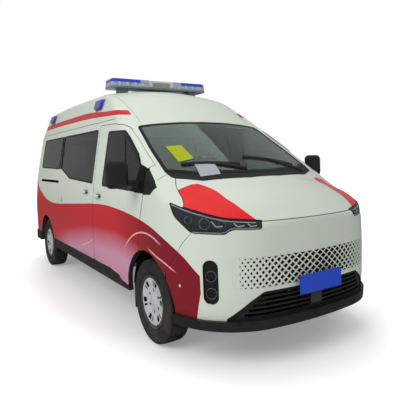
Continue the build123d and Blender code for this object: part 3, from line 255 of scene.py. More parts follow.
# The left patch starts a hand's breadth further out than the right one.
inner_edge = calc(livery, "ADD", curve(livery, x, PATCH_INNER, 0.0, 2.7),
                  ramp(livery, axes["Y"], -0.01, 0.01, 0.0, 0.05))
patch = both(livery, under(livery, inner_edge, out), under(livery, 1.945, x),
             under(livery, 1.02, z))
# The door's front edge behind each mirror is black, like the mirror's foot.
corner_edge = both(livery, under(livery, 1.588, x), under(livery, x, 1.612), under(livery, 1.247, z),
                   under(livery, z, 1.459))
print("swoosh, band and patch")

# %% Livery fade, painted floor reflection and arc
# The lower half of the swoosh turns pale lilac between the wheels and deepens ahead of them.
# The lilac is partly a real fade in the foil and partly a painted reflection of the pale floor.
below = calc(livery, "SUBTRACT", curve(livery, x, FADE_AND_REFLECTION_TOP, -2.7, 2.7), z)
fade_and_reflection = both(livery, ramp(livery, below, -0.06, 0.16), ramp(livery, x, -1.5, -0.7), ramp(livery, x, 1.95, 1.5))
deep = ramp(livery, x, 0.9, 1.8)
across = calc(livery, "SUBTRACT", x, ARC_X)
rise = calc(livery, "SUBTRACT", z, ARC_Z)
from_hub = calc(livery, "POWER", calc(livery, "ADD", calc(livery, "MULTIPLY", across, across),
                                      calc(livery, "MULTIPLY", rise, rise)), 0.5)


def line_at(value, limit, *ends):
    """A thin line where value meets limit, within its ends."""
    off = calc(livery, "ABSOLUTE", calc(livery, "SUBTRACT", value, limit))
    return both(livery, under(livery, off, lin.outputs["Line Width"]), *ends)


arcs = [
    line_at(from_hub, ARC_R, ramp(livery, z, 0.70, 0.78), ramp(livery, x, 1.95, 1.88)),
    line_at(z, curve(livery, x, LINE_AHEAD, 0.0, 2.7), ramp(livery, x, 1.70, 1.76),
            ramp(livery, x, 2.12, 2.06)),
    line_at(z, curve(livery, x, LINE_BELOW, -2.7, 2.7), ramp(livery, x, -0.26, -0.1),
            ramp(livery, x, 0.30, 0.27))]
arc = both(livery, calc(livery, "MAXIMUM", calc(livery, "MAXIMUM", arcs[0], arcs[1]), arcs[2]), swoosh)
for label, mask in zip(FOILS, (swoosh, fade_and_reflection, deep, band, patch, arc, corner_edge)):
    livery.links.new(mask, lout.inputs[label])
print(livery.name, len(livery.nodes), "nodes")

# %% [markdown]
# ## Finishes
# Each finish is one Principled shader. What is the same all over sits on the shader itself; what
# changes over the surface comes from the groups. `coarse` is the common case of a moulded or cast
# surface, with the grain as relief and as roughness.

# %% Finish helpers
def finish(name, colour, **plain):
    """A material, its graph and its shader; plain holds the shader's own settings."""
    material = bpy.data.materials.new(name)
    material.use_nodes = True
    shader = material.node_tree.nodes["Principled BSDF"]
    shader.inputs["Base Color"].default_value = colour
    for label, value in plain.items():
        shader.inputs[label.replace("_", " ")].default_value = value
    return material, material.node_tree, shader


def add_relief(tree, shader, height, strength, distance=0.001):
    bump = add_node(tree, "ShaderNodeBump", {"Height": height, "Strength": strength, "Distance": distance})
    tree.links.new(bump.outputs[0], shader.inputs["Normal"])


def coarse(name, colour, scale=400.0, strength=0.25, rough=(0.45, 0.6), dusty=0.0, **plain):
    material, tree, shader = finish(name, colour, **plain)
    fine = use(tree, grain, Scale=scale, Rough_Low=rough[0], Rough_High=rough[1])
    tree.links.new(fine.outputs["Roughness"], shader.inputs["Roughness"])
    add_relief(tree, shader, fine.outputs["Height"], strength)
    if dusty:
        film = use(tree, dust, Top=0.75, Amount=dusty)
        tint = blend(tree, film.outputs["Mask"], colour, srgb(150, 145, 136))
        tree.links.new(tint, shader.inputs["Base Color"])
    return material


def dress(material, *names):
    """Gives CAD nodes a finish."""
    for name in names:
        mesh = nodes[name].data
        if not mesh.materials:
            mesh.materials.append(material)
        for slot in range(len(mesh.materials)):
            mesh.materials[slot] = material
    print(material.name, "on", len(names), "nodes")


# %% [markdown]
# ## Body paint
# White enamel under clear lacquer, with the livery's foils. The masks choose between colours in turn,
# so the order of the mixes is the order in which the foils were laid.

# %% Body paint
WHITE = srgb(216, 224, 211)
# The lilac is partly a real fade in the foil and partly a painted reflection of the pale floor.
RED, DEEP_RED, LILAC_FADE_AND_REFLECTION, PATCH_RED, ARC_PINK = (
    srgb(206, 26, 40), srgb(112, 8, 26), srgb(212, 156, 184), srgb(232, 22, 28), srgb(244, 176, 180))


# Dark grey of the lining inside the van; under the arch lips the same grey is painted shade.
LINING_AND_ARCH_SHADE = srgb(52, 54, 56)


def lining_and_arch_shade(tree):
    """1 on faces that look into the van: the panels' backs, their edges and the ceiling; also on the faces
    under the arch lips, as painted shade in the wheel wells.
    """
    there = object_axes(tree)[1]
    facing_way = add_node(tree, "ShaderNodeNewGeometry").outputs["True Normal"]
    way = add_node(tree, "ShaderNodeSeparateXYZ", {0: facing_way}).outputs
    sideways_in = calc(tree, "MULTIPLY", way["Y"], calc(tree, "SIGN", there["Y"]))
    back = ramp(tree, sideways_in, -0.25, -0.35)
    ceiling = calc(tree, "MULTIPLY", ramp(tree, way["Z"], -0.6, -0.7), ramp(tree, there["Z"], 1.3, 1.31))
    # Painted shade: low faces that look down into the wheel wells take the dark lining grey.
    arch = calc(tree, "MULTIPLY", ramp(tree, way["Z"], -0.15, -0.25), ramp(tree, there["Z"], 0.80, 0.79))
    arch_shade = calc(tree, "MULTIPLY", arch, ramp(tree, calc(tree, "ABSOLUTE", way["Y"]), 0.5, 0.4))
    edge_on = ramp(tree, calc(tree, "ABSOLUTE", way["X"]), 0.7, 0.75)
    amidships = calc(tree, "MULTIPLY", ramp(tree, there["X"], -2.40, -2.39),
                     ramp(tree, there["X"], 1.95, 1.94))
    at_side = calc(tree, "MULTIPLY", ramp(tree, calc(tree, "ABSOLUTE", there["Y"]), 0.75, 0.76),
                   ramp(tree, there["Z"], 1.95, 1.94))
    shut_line = both(tree, edge_on, amidships, at_side)
    return calc(tree, "MAXIMUM", calc(tree, "MAXIMUM", back, ceiling),
                calc(tree, "MAXIMUM", arch_shade, shut_line))


def paint(name, masks):
    """Lacquered paint; masks is a list of (group output, colour, most)."""
    material, tree, shader = finish(name, WHITE, Roughness=0.35, Specular_IOR_Level=0.3, Coat_Weight=0.3,
                                    Coat_Roughness=0.04)
    foils = use(tree, livery, Line_Width=0.007)
    tint = WHITE
    for label, colour, most in masks:
        share = calc(tree, "MULTIPLY", foils.outputs[label], most)
        if label in ("Fade", "Deep"):
            share = calc(tree, "MULTIPLY", share, foils.outputs["Swoosh"])
        tint = blend(tree, share, tint, colour)
    film = use(tree, dust, Top=0.55, Amount=0.10)
    tint = blend(tree, film.outputs["Mask"], tint, srgb(150, 145, 136))
    tree.links.new(blend(tree, lining_and_arch_shade(tree), tint, LINING_AND_ARCH_SHADE), shader.inputs["Base Color"])
    return material


# The lilac mix is partly a real fade and partly a painted reflection of the pale floor.
body_paint = paint("body_paint", [
    ("Swoosh", RED, 1.0), ("Deep", DEEP_RED, 0.85), ("Fade", LILAC_FADE_AND_REFLECTION, 0.9), ("Arc", ARC_PINK, 0.9),
    ("Band", RED, 1.0),
    ("Corner", srgb(33, 34, 36), 1.0)])
bonnet_paint = paint("bonnet_paint", [("Patch", PATCH_RED, 1.0)])
plain_paint = paint("plain_paint", [])
dress(body_paint, "high_roof", "side_panel_right", "side_panel_left", "sliding_door", "front_door_right",
      "front_door_left", "rear_door_right", "rear_door_left", "front_wings", "front_bumper")
dress(bonnet_paint, "bonnet")
dress(plain_paint, "diamond_grille")

# %% [markdown]
# ## Plastics and metals
# Bumper plastic is grained and dull, chassis paint is black and dusty, the engine is rough cast
# aluminium. They differ only in colour, grain size and roughness, so `coarse` makes them all.

# %% Plastics and metals
black_plastic = coarse("black_plastic", srgb(33, 34, 36), 500, 0.3, (0.5, 0.62), dusty=0.12)
dark_plastic = coarse("dark_plastic", srgb(27, 29, 32), 350, 0.2, (0.38, 0.5), dusty=0.05)
gloss_black = finish("gloss_black", srgb(16, 16, 18), Roughness=0.12, Coat_Weight=0.5)[0]
band_black = finish("band_black", srgb(20, 20, 22), Roughness=0.45)[0]
cabin_white = coarse("cabin_white", srgb(205, 208, 205), 300, 0.1, (0.35, 0.5))
chassis_paint = coarse("chassis_paint", srgb(46, 47, 50), 120, 0.4, (0.5, 0.7), dusty=0.35)
cast_metal = coarse("cast_metal", srgb(150, 152, 154), 160, 0.6, (0.4, 0.6), dusty=0.2, Metallic=0.9)
floor_vinyl = coarse("floor_vinyl", srgb(120, 124, 126), 260, 0.5, (0.5, 0.65))
siren_plastic = coarse("siren_plastic", srgb(206, 210, 200), 300, 0.1, (0.3, 0.4))
dress(black_plastic, "sills_and_flaps", "rear_bumper", "mirror_right", "mirror_left", "cowl_and_sails",
      "wipers")
dress(dark_plastic, "bumper_lip", "lower_intake", "dashboard", "steering_wheel")
dress(gloss_black, "fog_trays")
dress(cabin_white, "partition", "cupboards_and_bench")
dress(chassis_paint, "chassis_frame", "front_suspension", "rear_axle", "knuckle_right", "knuckle_left")
dress(cast_metal, "engine")
dress(floor_vinyl, "floor_pan")
dress(siren_plastic, "siren")

# %% [markdown]
# ## Wheel silver, rubber and chrome
# Wheels are sprayed silver: a metal under thin lacquer, not a mirror. Rubber is nearly black, with a
# brown dust in its grain. Bright parts are plain chrome.

# %% Wheel silver, rubber and chrome
silver = coarse("wheel_silver", srgb(218, 220, 222), 700, 0.05, (0.3, 0.4), dusty=0.10, Metallic=0.25)
chrome = finish("chrome", srgb(222, 224, 228), Metallic=1.0, Roughness=0.08)[0]
mirror_glass = finish("mirror_glass", srgb(235, 238, 240), Metallic=1.0, Roughness=0.01)[0]
# Near-black for painted shade in holes, channels and wheel wells: the arch liners, wheel nuts, sliding rail
# and grille sheet take it.
hole_shade_black = coarse("hole_shade_black", srgb(9, 9, 10), 300, 0.1, (0.7, 0.9))
# A pale silver for the painted highlights on the headlamp lenses and for the light bar's reflectors.
highlight_and_reflector_silver = finish("highlight_and_reflector_silver", srgb(206, 212, 218), Metallic=0.3, Roughness=0.25)[0]
dress(hole_shade_black, "arch_liners")
dress(chassis_paint, "rim_front_right", "rim_front_left", "rim_rear_right", "rim_rear_left")

# %% [markdown]
# ## Glass and lamp lenses
# The side glass is tinted and the windscreen a little green. Both are real transmission, so the seats
# show through. Lamp lenses are thin clear plastic. The light bar and the side lamps are blue above
# and clear below, with ribs moulded inside, which a wave texture gives as relief.

# %% Window glass
def pane(name, colour, rough=0.0):
    return finish(name, colour, Transmission_Weight=1.0, Roughness=rough, IOR=1.45)[0]


side_glass = pane("side_glass", srgb(78, 86, 84))
screen_glass = pane("screen_glass", srgb(170, 192, 182))
# A lamp's lens is thin and lets light straight through, so it is part transparent instead.
clear_lens = finish("clear_lens", srgb(60, 66, 70), Alpha=0.22, Roughness=0.04, Coat_Weight=0.6)[0]
dress(side_glass, "side_windows", "front_glass_right", "front_glass_left", "rear_glass_right",
      "rear_glass_left")
dress(screen_glass, "windscreen")
dress(clear_lens, "headlamp_lenses", "fog_lamps")

# %% Lamp lenses
def ribbed(name, low, high, seam, direction="Y", ribs=26.0, outer=0.0, **plain):
    """A lens, low below the seam's height and high above it beyond outer, with ribs behind it."""
    material, tree, shader = finish(name, low, Roughness=0.12, Coat_Weight=1.0, Coat_Roughness=0.03, **plain)
    place, axes = object_axes(tree)
    ribs_node = add_node(tree, "ShaderNodeTexWave", {"Vector": place, "Scale": ribs, "Distortion": 0.4},
                         bands_direction=direction)
    cells = add_node(tree, "ShaderNodeTexVoronoi", {"Vector": place, "Scale": 34.0})
    glint = ramp(tree, cells.outputs["Distance"], 0.1, 0.55)
    above = ramp(tree, axes["Z"], seam - 0.004, seam + 0.004)
    if outer:
        above = calc(tree, "MULTIPLY", above,
                     ramp(tree, calc(tree, "ABSOLUTE", axes["Y"]), outer - 0.004, outer + 0.004))
    base = blend(tree, above, low, high)
    dark = blend(tree, 0.45, base, srgb(70, 80, 110))
    tree.links.new(blend(tree, glint, base, dark), shader.inputs["Base Color"])
    add_relief(tree, shader, ribs_node.outputs["Fac"], 0.5, 0.002)
    return material


bar_lens = ribbed("bar_lens", srgb(186, 198, 214), srgb(16, 62, 224), 2.466, outer=0.28)
lamp_blue = ribbed("lamp_blue", srgb(26, 40, 190), srgb(40, 50, 200), 2.19, "X", 30.0)
tail_red = ribbed("tail_red", srgb(196, 16, 20), srgb(150, 8, 14), 1.12, "Z", 24.0)
dress(bar_lens, "light_bar_lenses")
dress(lamp_blue, "roof_lamps")
dress(tail_red, "tail_lamps")
lamp_bowl = finish("lamp_bowl", srgb(52, 58, 62), Metallic=0.4, Roughness=0.3)[0]
bar_base = coarse("bar_base", srgb(128, 136, 146), 300, 0.05, (0.25, 0.35), Metallic=0.3)
dress(bar_base, "light_bar_base")
dress(lamp_bowl, "headlamp_housings")
plate_blue = coarse("plate_blue", srgb(14, 72, 214), 200, 0.05, (0.4, 0.5))
dress(plate_blue, "number_plate")

# %% [markdown]
# ## Helpers for meshes
# Three ways of making cover nearly all the small parts: a profile turned about an axle, a rounded
# block, and a thin strip laid on the body. The strip finds the body by casting rays at the CAD
# panels, so it follows their curve without any measuring.

# %% Making pieces
def piece(name, work, body, material, smooth=True):
    """An object made of a bmesh, or of a finished mesh, that rides on a body."""
    mesh = mesh_from(name, work) if isinstance(work, bmesh.types.BMesh) else work
    made = bpy.data.objects.new(name, mesh)
    bpy.context.scene.collection.objects.link(made)
    mesh.materials.append(material)
    for face in mesh.polygons:
        face.use_smooth = smooth
    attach(made, body)
    return made


def mesh_from(name, work):
    bmesh.ops.recalc_face_normals(work, faces=work.faces)
    mesh = bpy.data.meshes.new(name)
    work.to_mesh(mesh)
    work.free()
    return mesh


def rounded_block(size, radius, segments=3):
    """A block about the origin with all its edges rounded."""
    work = bmesh.new()
    bmesh.ops.create_cube(work, size=1.0)
    bmesh.ops.scale(work, vec=size, verts=work.verts)
    bmesh.ops.bevel(work, geom=work.edges[:], offset=radius, segments=segments, affect="EDGES", profile=0.5)
    return work


def placed(work, point, turn=None):
    matrix = Matrix.Translation(point) @ (turn.to_matrix().to_4x4() if turn else Matrix.Identity(4))
    bmesh.ops.transform(work, matrix=matrix, verts=work.verts)
    return work


def quads(work, rows, ring=False):
    """Faces between rows of vertices; ring joins the end of each row to its start."""
    for a, b in zip(rows, rows[1:]):
        for i in range(len(a) if ring else len(a) - 1):
            j = (i + 1) % len(a)
            work.faces.new((a[i], a[j], b[j], b[i]))


def sheet(rows, thickness):
    """A thin sheet over rows of points."""
    work = bmesh.new()
    quads(work, [[work.verts.new(point) for point in row] for row in rows])
    bmesh.ops.solidify(work, geom=work.faces[:], thickness=thickness)
    return work


def soft_ring(half_x, half_z, power, count, start=0.0):
    """Points (x, z) round a rounded rectangle; a smaller power makes it squarer."""
    ring = []
    for k in range(count):
        a = 2 * pi * (k + start) / count
        ring.append([(abs(v) ** power) * half * (1 if v > 0 else -1) for v,
                     half in ((cos(a), half_x), (sin(a), half_z))])
    return ring


def turned(profile, steps, closed=True, hole=None):
    """A profile of (along the axle, radius) turned about Y; hole(index, angle) leaves a face out."""
    work = bmesh.new()
    rings = []
    for step in range(steps):
        angle = 2 * pi * step / steps
        rings.append([work.verts.new((r * cos(angle), y, r * sin(angle))) for y, r in profile])
    last = len(profile) if closed else len(profile) - 1
    for step in range(steps):
        here, there = rings[step], rings[(step + 1) % steps]
        for i in range(last):
            if hole and hole(i, (step + 0.5) * 360 / steps):
                continue
            j = (i + 1) % len(profile)
            work.faces.new((here[i], here[j], there[j], there[i]))
    return work


def tree_of(*names):
    """All the faces of some CAD nodes, ready for rays."""
    points, faces = [], []
    for name in names:
        mesh, start = nodes[name].data, len(points)
        points += [v.co.copy() for v in mesh.vertices]
        faces += [[start + i for i in face.vertices] for face in mesh.polygons]
    return BVHTree.FromPolygons(points, faces)


SIDES = (("right", -1), ("left", 1))
DOWN, REARWARD = Vector((0, 0, -1)), Vector((-1, 0, 0))
skin = {
    name: tree_of(f"side_panel_{name}", f"front_door_{name}", f"front_glass_{name}", "front_wings",
                  "sliding_door",
                  "side_windows", "high_roof", "front_bumper")
    for name, _ in SIDES}


def on_side(side, x, z, lift=0.0):
    """The point on a side of the body at x and z, and the way out from it."""
    name = "right" if side < 0 else "left"
    # A ray can slip through the gap between two panels, so its neighbours are tried as well.
    for dx, dz in ((0, 0), (0.005, 0), (-0.005, 0), (0, 0.005), (0, -0.005), (0.012, 0), (-0.012, 0),
                   (0, 0.012), (0, -0.012)):
        point, normal, _, _ = skin[name].ray_cast(Vector((x + dx, side * 1.6, z + dz)), Vector((0, -side, 0)))
        if point and point.y * side > 0.6 and abs(normal.y) > 0.3:
            break
    if normal.y * side < 0:
        normal = -normal
    return Vector((x, point.y, z)) + normal * lift, normal


def strip_on_side(side, rows, lift, at=None):
    """A thin sheet over a grid of (x, z) rows, a little proud of the side; at is the furthest x measured."""
    grid = []
    for row in rows:
        points = [(x, on_side(side, x if at is None else min(x, at), z, lift)[0]) for x, z in row]
        grid.append([(x, point.y, point.z) for x, point in points])
    return sheet(grid, lift * 0.9)


print("mesh helpers ready")

# %% [markdown]
# ## Tyres
# A road tyre has a bead, a bulging wall, a shoulder and a tread with grooves all round. A sculpted
# tread would need a great many faces; a turned section with five real grooves, and the small cross
# cuts as relief in the rubber, reads the same and stays light. The section is the CAD tyre's own
# outline with the grooves let in.

# %% Tyre section
TYRE_R, TYRE_HALF, TREAD_HALF = 0.348, 0.105, 0.079
GROOVES, GROOVE_W, GROOVE_D = (-0.056, -0.028, 0.0, 0.028, 0.056), 0.0085, 0.008
WALL_SIDE = [
    (0.0820, 0.2055), (0.0820, 0.2245), (0.0870, 0.2290), (0.0945, 0.2390), (0.1000, 0.2500),
    (0.1000, 0.2525),
    (0.1030, 0.2550), (0.1040, 0.2650), (0.1045, 0.2750), (0.1038, 0.2900), (0.1015, 0.3050),
    (0.1015, 0.3080),
    (0.0990, 0.3110), (0.0965, 0.3220), (0.0900, 0.3350), (0.0830, 0.3420)]


def tread_profile():
    """From one bead over the tread to the other: (along the axle, radius)."""
    crown = lambda y: TYRE_R - 0.0042 * (abs(y) / TREAD_HALF) ** 2
    points = [(-y, r) for y, r in WALL_SIDE] + [(-TREAD_HALF, crown(TREAD_HALF))]
    for middle in GROOVES:
        near, far = middle - GROOVE_W / 2, middle + GROOVE_W / 2
        points += [(near, crown(near)), (near + 0.001, crown(near) - GROOVE_D)]
        points += [(far - 0.001, crown(far) - GROOVE_D), (far, crown(far))]
    return points + [(TREAD_HALF, crown(TREAD_HALF))] + list(reversed(WALL_SIDE))


print("profile points:", len(tread_profile()))

# %% Rubber
# The cross cuts are a wave that runs round the wheel, masked to the tread by the distance from the axle.
def rubber(name, hub):
    material, tree, shader = finish(name, srgb(36, 37, 38))
    place = add_node(tree, "ShaderNodeTexCoord").outputs["Object"]
    local = add_node(tree, "ShaderNodeVectorMath", {0: place, 1: hub}, operation="SUBTRACT").outputs[0]
    axes = add_node(tree, "ShaderNodeSeparateXYZ", {0: local}).outputs
    turn = calc(tree, "ARCTAN2", axes["Z"], axes["X"])
    slant = calc(tree, "MULTIPLY", calc(tree, "ABSOLUTE", axes["Y"]), 9.0)
    cuts = calc(tree, "SINE", calc(tree, "MULTIPLY", calc(tree, "ADD", turn, slant), 72.0))
    flat = calc(tree, "POWER", calc(tree, "ADD", calc(tree, "MULTIPLY", axes["X"], axes["X"]),
                                    calc(tree, "MULTIPLY", axes["Z"], axes["Z"])), 0.5)
    on_tread = ramp(tree, flat, 0.336, 0.341)
    fine = use(tree, grain, Scale=900.0, Rough_Low=0.62, Rough_High=0.8)
    cut_depth = calc(tree, "MULTIPLY", ramp(tree, cuts, 0.72, 0.9, 0.0, -3.0), on_tread)
    add_relief(tree, shader, calc(tree, "ADD", fine.outputs["Height"], cut_depth), 0.6, 0.0015)
    tree.links.new(fine.outputs["Roughness"], shader.inputs["Roughness"])
    film = use(tree, dust, Top=0.9, Amount=0.22)
    tree.links.new(blend(tree, film.outputs["Mask"], srgb(36, 37, 38), srgb(120, 114, 106)),
                   shader.inputs["Base Color"])
    return material


# %% Tyres on their wheels
AXLES = {"front": 1.672, "rear": -1.873}
WHEEL_Y = 0.856
for end, axle_x in AXLES.items():
    for name, side in SIDES:
        hub = Vector((axle_x, side * WHEEL_Y, TYRE_R))
        work = placed(turned(tread_profile(), 120), hub)
        tyre = piece(f"tyre_tread_{end}_{name}", work, f"wheel_{end}_{name}",
                     rubber(f"rubber_{end}_{name}", hub))
        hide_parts(f"tyre_{end}_{name}")
print("tyres:", len(tyre.data.polygons), "faces each")

# %% [markdown]
# ## Wheel covers
# The steel wheels carry a pressed silver cover with six large windows, six small ones and a ring of
# nut recesses. Cutting windows with booleans leaves a messy mesh. Here the cover is turned as a sheet
# from a fine grid, the faces of each window are simply left out, and the sheet is then given its
# thickness, so every window has a real edge.

# %% Wheel covers
COVER = [
    (0.080, 0.0001), (0.080, 0.024), (0.076, 0.034), (0.074, 0.052), (0.072, 0.060), (0.070, 0.074),
    (0.070, 0.102),
    (0.073, 0.112), (0.078, 0.128), (0.080, 0.142), (0.083, 0.152), (0.085, 0.176), (0.087, 0.190),
    (0.084, 0.199)]


def window(ring, angle):
    """True where a window or a nut recess is: rings 8 to 10 are the windows' row, ring 5 the nuts'."""
    turn = angle % 60
    return (ring in (8, 9, 10) and (turn < 15 or 21 < turn < 27)) or (ring == 5 and 23 < turn < 37)


for end, axle_x in AXLES.items():
    for name, side in SIDES:
        work = turned([(side * y, r) for y, r in COVER], 120, closed=False, hole=window)
        bmesh.ops.recalc_face_normals(work, faces=work.faces)
        bmesh.ops.solidify(work, geom=work.faces[:], thickness=0.002)
        placed(work, Vector((axle_x, side * WHEEL_Y, TYRE_R)))
        cover = piece(f"wheel_cover_{end}_{name}", work, f"wheel_{end}_{name}", silver)
        nuts = bmesh.new()
        for k in range(6):
            angle = radians(60 * k + 30)
            part = bmesh.new()
            bmesh.ops.create_cone(part, cap_ends=True, segments=6, radius1=0.011, radius2=0.009, depth=0.016)
            spot = Vector((axle_x + 0.088 * cos(angle), side * (WHEEL_Y + 0.062),
                           TYRE_R + 0.088 * sin(angle)))
            bmesh.ops.rotate(part, cent=(0, 0, 0), matrix=Matrix.Rotation(-side * pi / 2, 3, "X"),
                             verts=part.verts)
            bmesh.ops.translate(part, vec=spot, verts=part.verts)
            loose = bpy.data.meshes.new("nut")
            part.to_mesh(loose)
            part.free()
            nuts.from_mesh(loose)
            bpy.data.meshes.remove(loose)
        # The nuts are near-black, painted shade in their recesses in the cover.
        piece(f"wheel_nuts_{end}_{name}", nuts, f"wheel_{end}_{name}", hole_shade_black, False)
print("covers:", len(cover.data.polygons), "faces each")

# %% [markdown]
# ## Glass edges
# Bonded glass has a black ceramic band round its edge that hides the glue. It could be a mask, but
# every pane has another outline. Taking the pane's own outer faces, insetting their border and
# keeping only the rim gives a band that fits each pane exactly.

# %% Glass bands
def glass_band(node, width, outward, body, lift=0.0006):
    """The rim of a pane's outer faces, as a thin sheet just outside the glass."""
    work = bmesh.new()
    work.from_mesh(nodes[node].data)
    bmesh.ops.remove_doubles(work, verts=work.verts, dist=0.0001)
    bmesh.ops.recalc_face_normals(work, faces=work.faces)
    inner = [face for face in work.faces if face.normal.dot(outward(face.calc_center_median())) < 0.55]
    bmesh.ops.delete(work, geom=inner, context="FACES")
    kept = work.faces[:]
    rim = bmesh.ops.inset_region(work, faces=kept, thickness=width, use_even_offset=True, use_boundary=True)
    middle = [face for face in work.faces if face not in set(rim["faces"])]
    bmesh.ops.delete(work, geom=middle, context="FACES")
    for vert in work.verts:
        vert.co += outward(vert.co) * lift
    mesh = bpy.data.meshes.new(node + "_band")
    work.to_mesh(mesh)
    work.free()
    return piece(node + "_band", mesh, body, band_black, smooth=False)


def sideways(point):
    return Vector((0, 1 if point.y > 0 else -1, 0.25)).normalized()


def ahead(point):
    return Vector((0.5, 0, 0.85)).normalized()


def behind(point):
    return Vector((-1, 0, 0))


glass_band("windscreen", 0.034, ahead, "vehicle")
glass_band("side_windows", 0.020, sideways, "vehicle")
for name, _ in SIDES:
    glass_band(f"front_glass_{name}", 0.016, sideways, f"door_front_{name}")
    band = glass_band(f"rear_glass_{name}", 0.022, behind, f"door_rear_{name}")
print("last band:", len(band.data.polygons), "faces")

# %% [markdown]
# ## Trim on the sides
# Thin dark strips lie on the flanks: the rail of the sliding door, the gutter under the roof, the
# seam between bumper and wing and the bar in each door window. All are strips laid on the body by
# rays, so they take its curve.

# %% Side trim
def along(points, width, count):
    """Rows of (x, z) for a strip of some width that follows a line of points."""
    line = [Vector(p) for p in points]
    lengths = [(b - a).length for a, b in zip(line, line[1:])]
    total, rows = sum(lengths), []
    for k in range(count + 1):
        want, i = total * k / count, 0
        while i < len(lengths) - 1 and want > lengths[i]:
            want -= lengths[i]
            i += 1
        step = (line[i + 1] - line[i]).normalized()
        middle = line[i] + step * min(want, lengths[i])
        normal = Vector((-step.y, step.x)) * width / 2
        rows.append([tuple(middle - normal), tuple(middle + normal)])
    return rows


seam_dark = coarse("seam_dark", srgb(58, 60, 60), 300, 0.1, (0.5, 0.6))
BUMPER_SEAM = [(1.999, 0.669), (2.060, 0.742), (2.133, 0.824), (2.194, 0.908), (2.258, 0.975)]
GUTTER = [(-2.40, 1.9654), (0.80, 1.9654)]
for name, side in SIDES:
    for label, line, width, lift, steps in (("bumper_seam", BUMPER_SEAM, 0.0032, 0.0006, 14),
                                            ("gutter", GUTTER, 0.005, 0.0012, 30)):
        work = strip_on_side(side, along(line, width, steps), lift)
        piece(f"{label}_{name}", work, "vehicle", seam_dark, False)
    work = strip_on_side(side, along([(1.042, 1.795), (1.205, 1.262)], 0.026, 10), 0.0035)
    piece(f"window_bar_{name}", work, f"door_front_{name}", gloss_black, False)
# Black glass paint joins the quarter window to the sliding one, so they look like one band.
for name, side in SIDES:
    for label, ends in (("rear", (-1.242, -1.1845)), ("front", (-1.1755, -1.122))):
        rows = [[(ends[0] + (ends[1] - ends[0]) * k / 6, z) for z in (1.446, 1.58, 1.73,
                                                                      1.884)] for k in range(7)]
        piece(f"glass_joint_{label}_{name}", strip_on_side(side, rows, 0.0015), "vehicle", band_black,
              False)
# The rail is near-black, painted shade in its channel.
rail = strip_on_side(-1, along([(-2.22, 1.272), (-1.20, 1.272)], 0.034, 16), 0.002)
piece("sliding_rail", rail, "vehicle", hole_shade_black, False)
# A grey strip along the roof's front seam is painted shade in its crease; the handle cups use the same grey.
ROOF_CREASE = [(0.292, 0.692), (0.550, 0.678), (0.722, 0.665), (0.953, 0.678)]
crease_shade_grey = coarse("crease_shade_grey", srgb(132, 138, 130), 300, 0.05, (0.5, 0.6))
roof_skin = tree_of("high_roof")
for name, side in SIDES:
    rows = []
    for pair in along(ROOF_CREASE, 0.004, 24):
        hits = [roof_skin.ray_cast(Vector((x, side * y, 3)), DOWN)[0] for x, y in pair]
        if all(hits):
            rows.append([hit + Vector((0.0005, side * 0.0006, 0.0008)) for hit in hits])
    piece(f"roof_crease_shade_{name}", sheet(rows, 0.0006), "vehicle", crease_shade_grey, False)
print("side trim laid")

# %% [markdown]
# ## Door handles
# Each door has a bar handle over a shallow cup. A rounded block with its two ends turned in to the
# panel is close enough at this size; the cup is a grey strip of painted shade laid behind it.

# %% Handles
def handle(label, side, x, z, body, length=0.17, upright=False):
    size = (0.03, 0.018, length) if upright else (length, 0.018, 0.03)
    spot, normal = on_side(side, x, z, 0.028)
    turn = Vector((0, side, 0)).rotation_difference(normal)
    piece(f"handle_{label}", placed(rounded_block(size, 0.0085), spot, turn), body, plain_paint)
    for end in (-1, 1):
        reach = end * (length / 2 - 0.014)
        foot, _ = on_side(side, x + (0 if upright else reach), z + (reach if upright else 0), 0.010)
        piece(f"handle_foot_{label}_{'front' if end > 0 else 'rear'}",
              placed(rounded_block((0.02, 0.03, 0.02), 0.004), foot, turn), body, plain_paint)
    half = length / 2 - 0.02
    # The cup is painted shade: a flat grey strip, not a recess.
    cup = along([(x, z - half), (x, z + half)] if upright else [(x - half, z), (x + half, z)], 0.044, 6)
    piece(f"handle_cup_shade_{label}", strip_on_side(side, cup, 0.001), body, crease_shade_grey)


for name, side in SIDES:
    handle(f"front_{name}", side, 0.47, 1.165, f"door_front_{name}")
handle("sliding", -1, 0.03, 1.19, "vehicle")
print("handles on")

# %% [markdown]
# ## Mirrors
# The housing is a rounded shell, its arm runs down into a black foot that fills the lower front
# corner of the door window. The shell is a block with a large radius, the arm a chain of sections
# that shrink towards the housing, and the foot a strip laid on the door.

# %% Mirrors
MIRROR = Vector((1.498, 1.152, 1.412))
FOOT = [(1.335, 1.262, 1.268), (1.372, 1.256, 1.300), (1.410, 1.251, 1.345), (1.450, 1.248, 1.400),
        (1.485, 1.247, 1.497),
        (1.520, 1.246, 1.486), (1.560, 1.246, 1.472), (1.5990, 1.247, 1.457)]
FILLET = [(1.382, 1.586, 1.590), (1.420, 1.551, 1.560), (1.455, 1.519, 1.531), (1.487, 1.489, 1.500)]
ARM = [(0.870, 1.470, 1.305, 0.060, 0.046), (0.930, 1.478, 1.318, 0.052, 0.040),
       (0.990, 1.488, 1.328, 0.044, 0.034),
       (1.060, 1.496, 1.335, 0.036, 0.030), (1.110, 1.498, 1.338, 0.034, 0.030)]


def arm(side):
    """Sections from the door out to the housing: (out, along, up, half length, half height)."""
    work = bmesh.new()
    loops = [[work.verts.new((x + px, side * y, z + pz)) for px, pz in soft_ring(half_x, half_z, 0.7, 20)]
             for y, x, z, half_x, half_z in ARM]
    quads(work, loops, ring=True)
    work.faces.new(loops[0])
    work.faces.new(loops[-1])
    return work


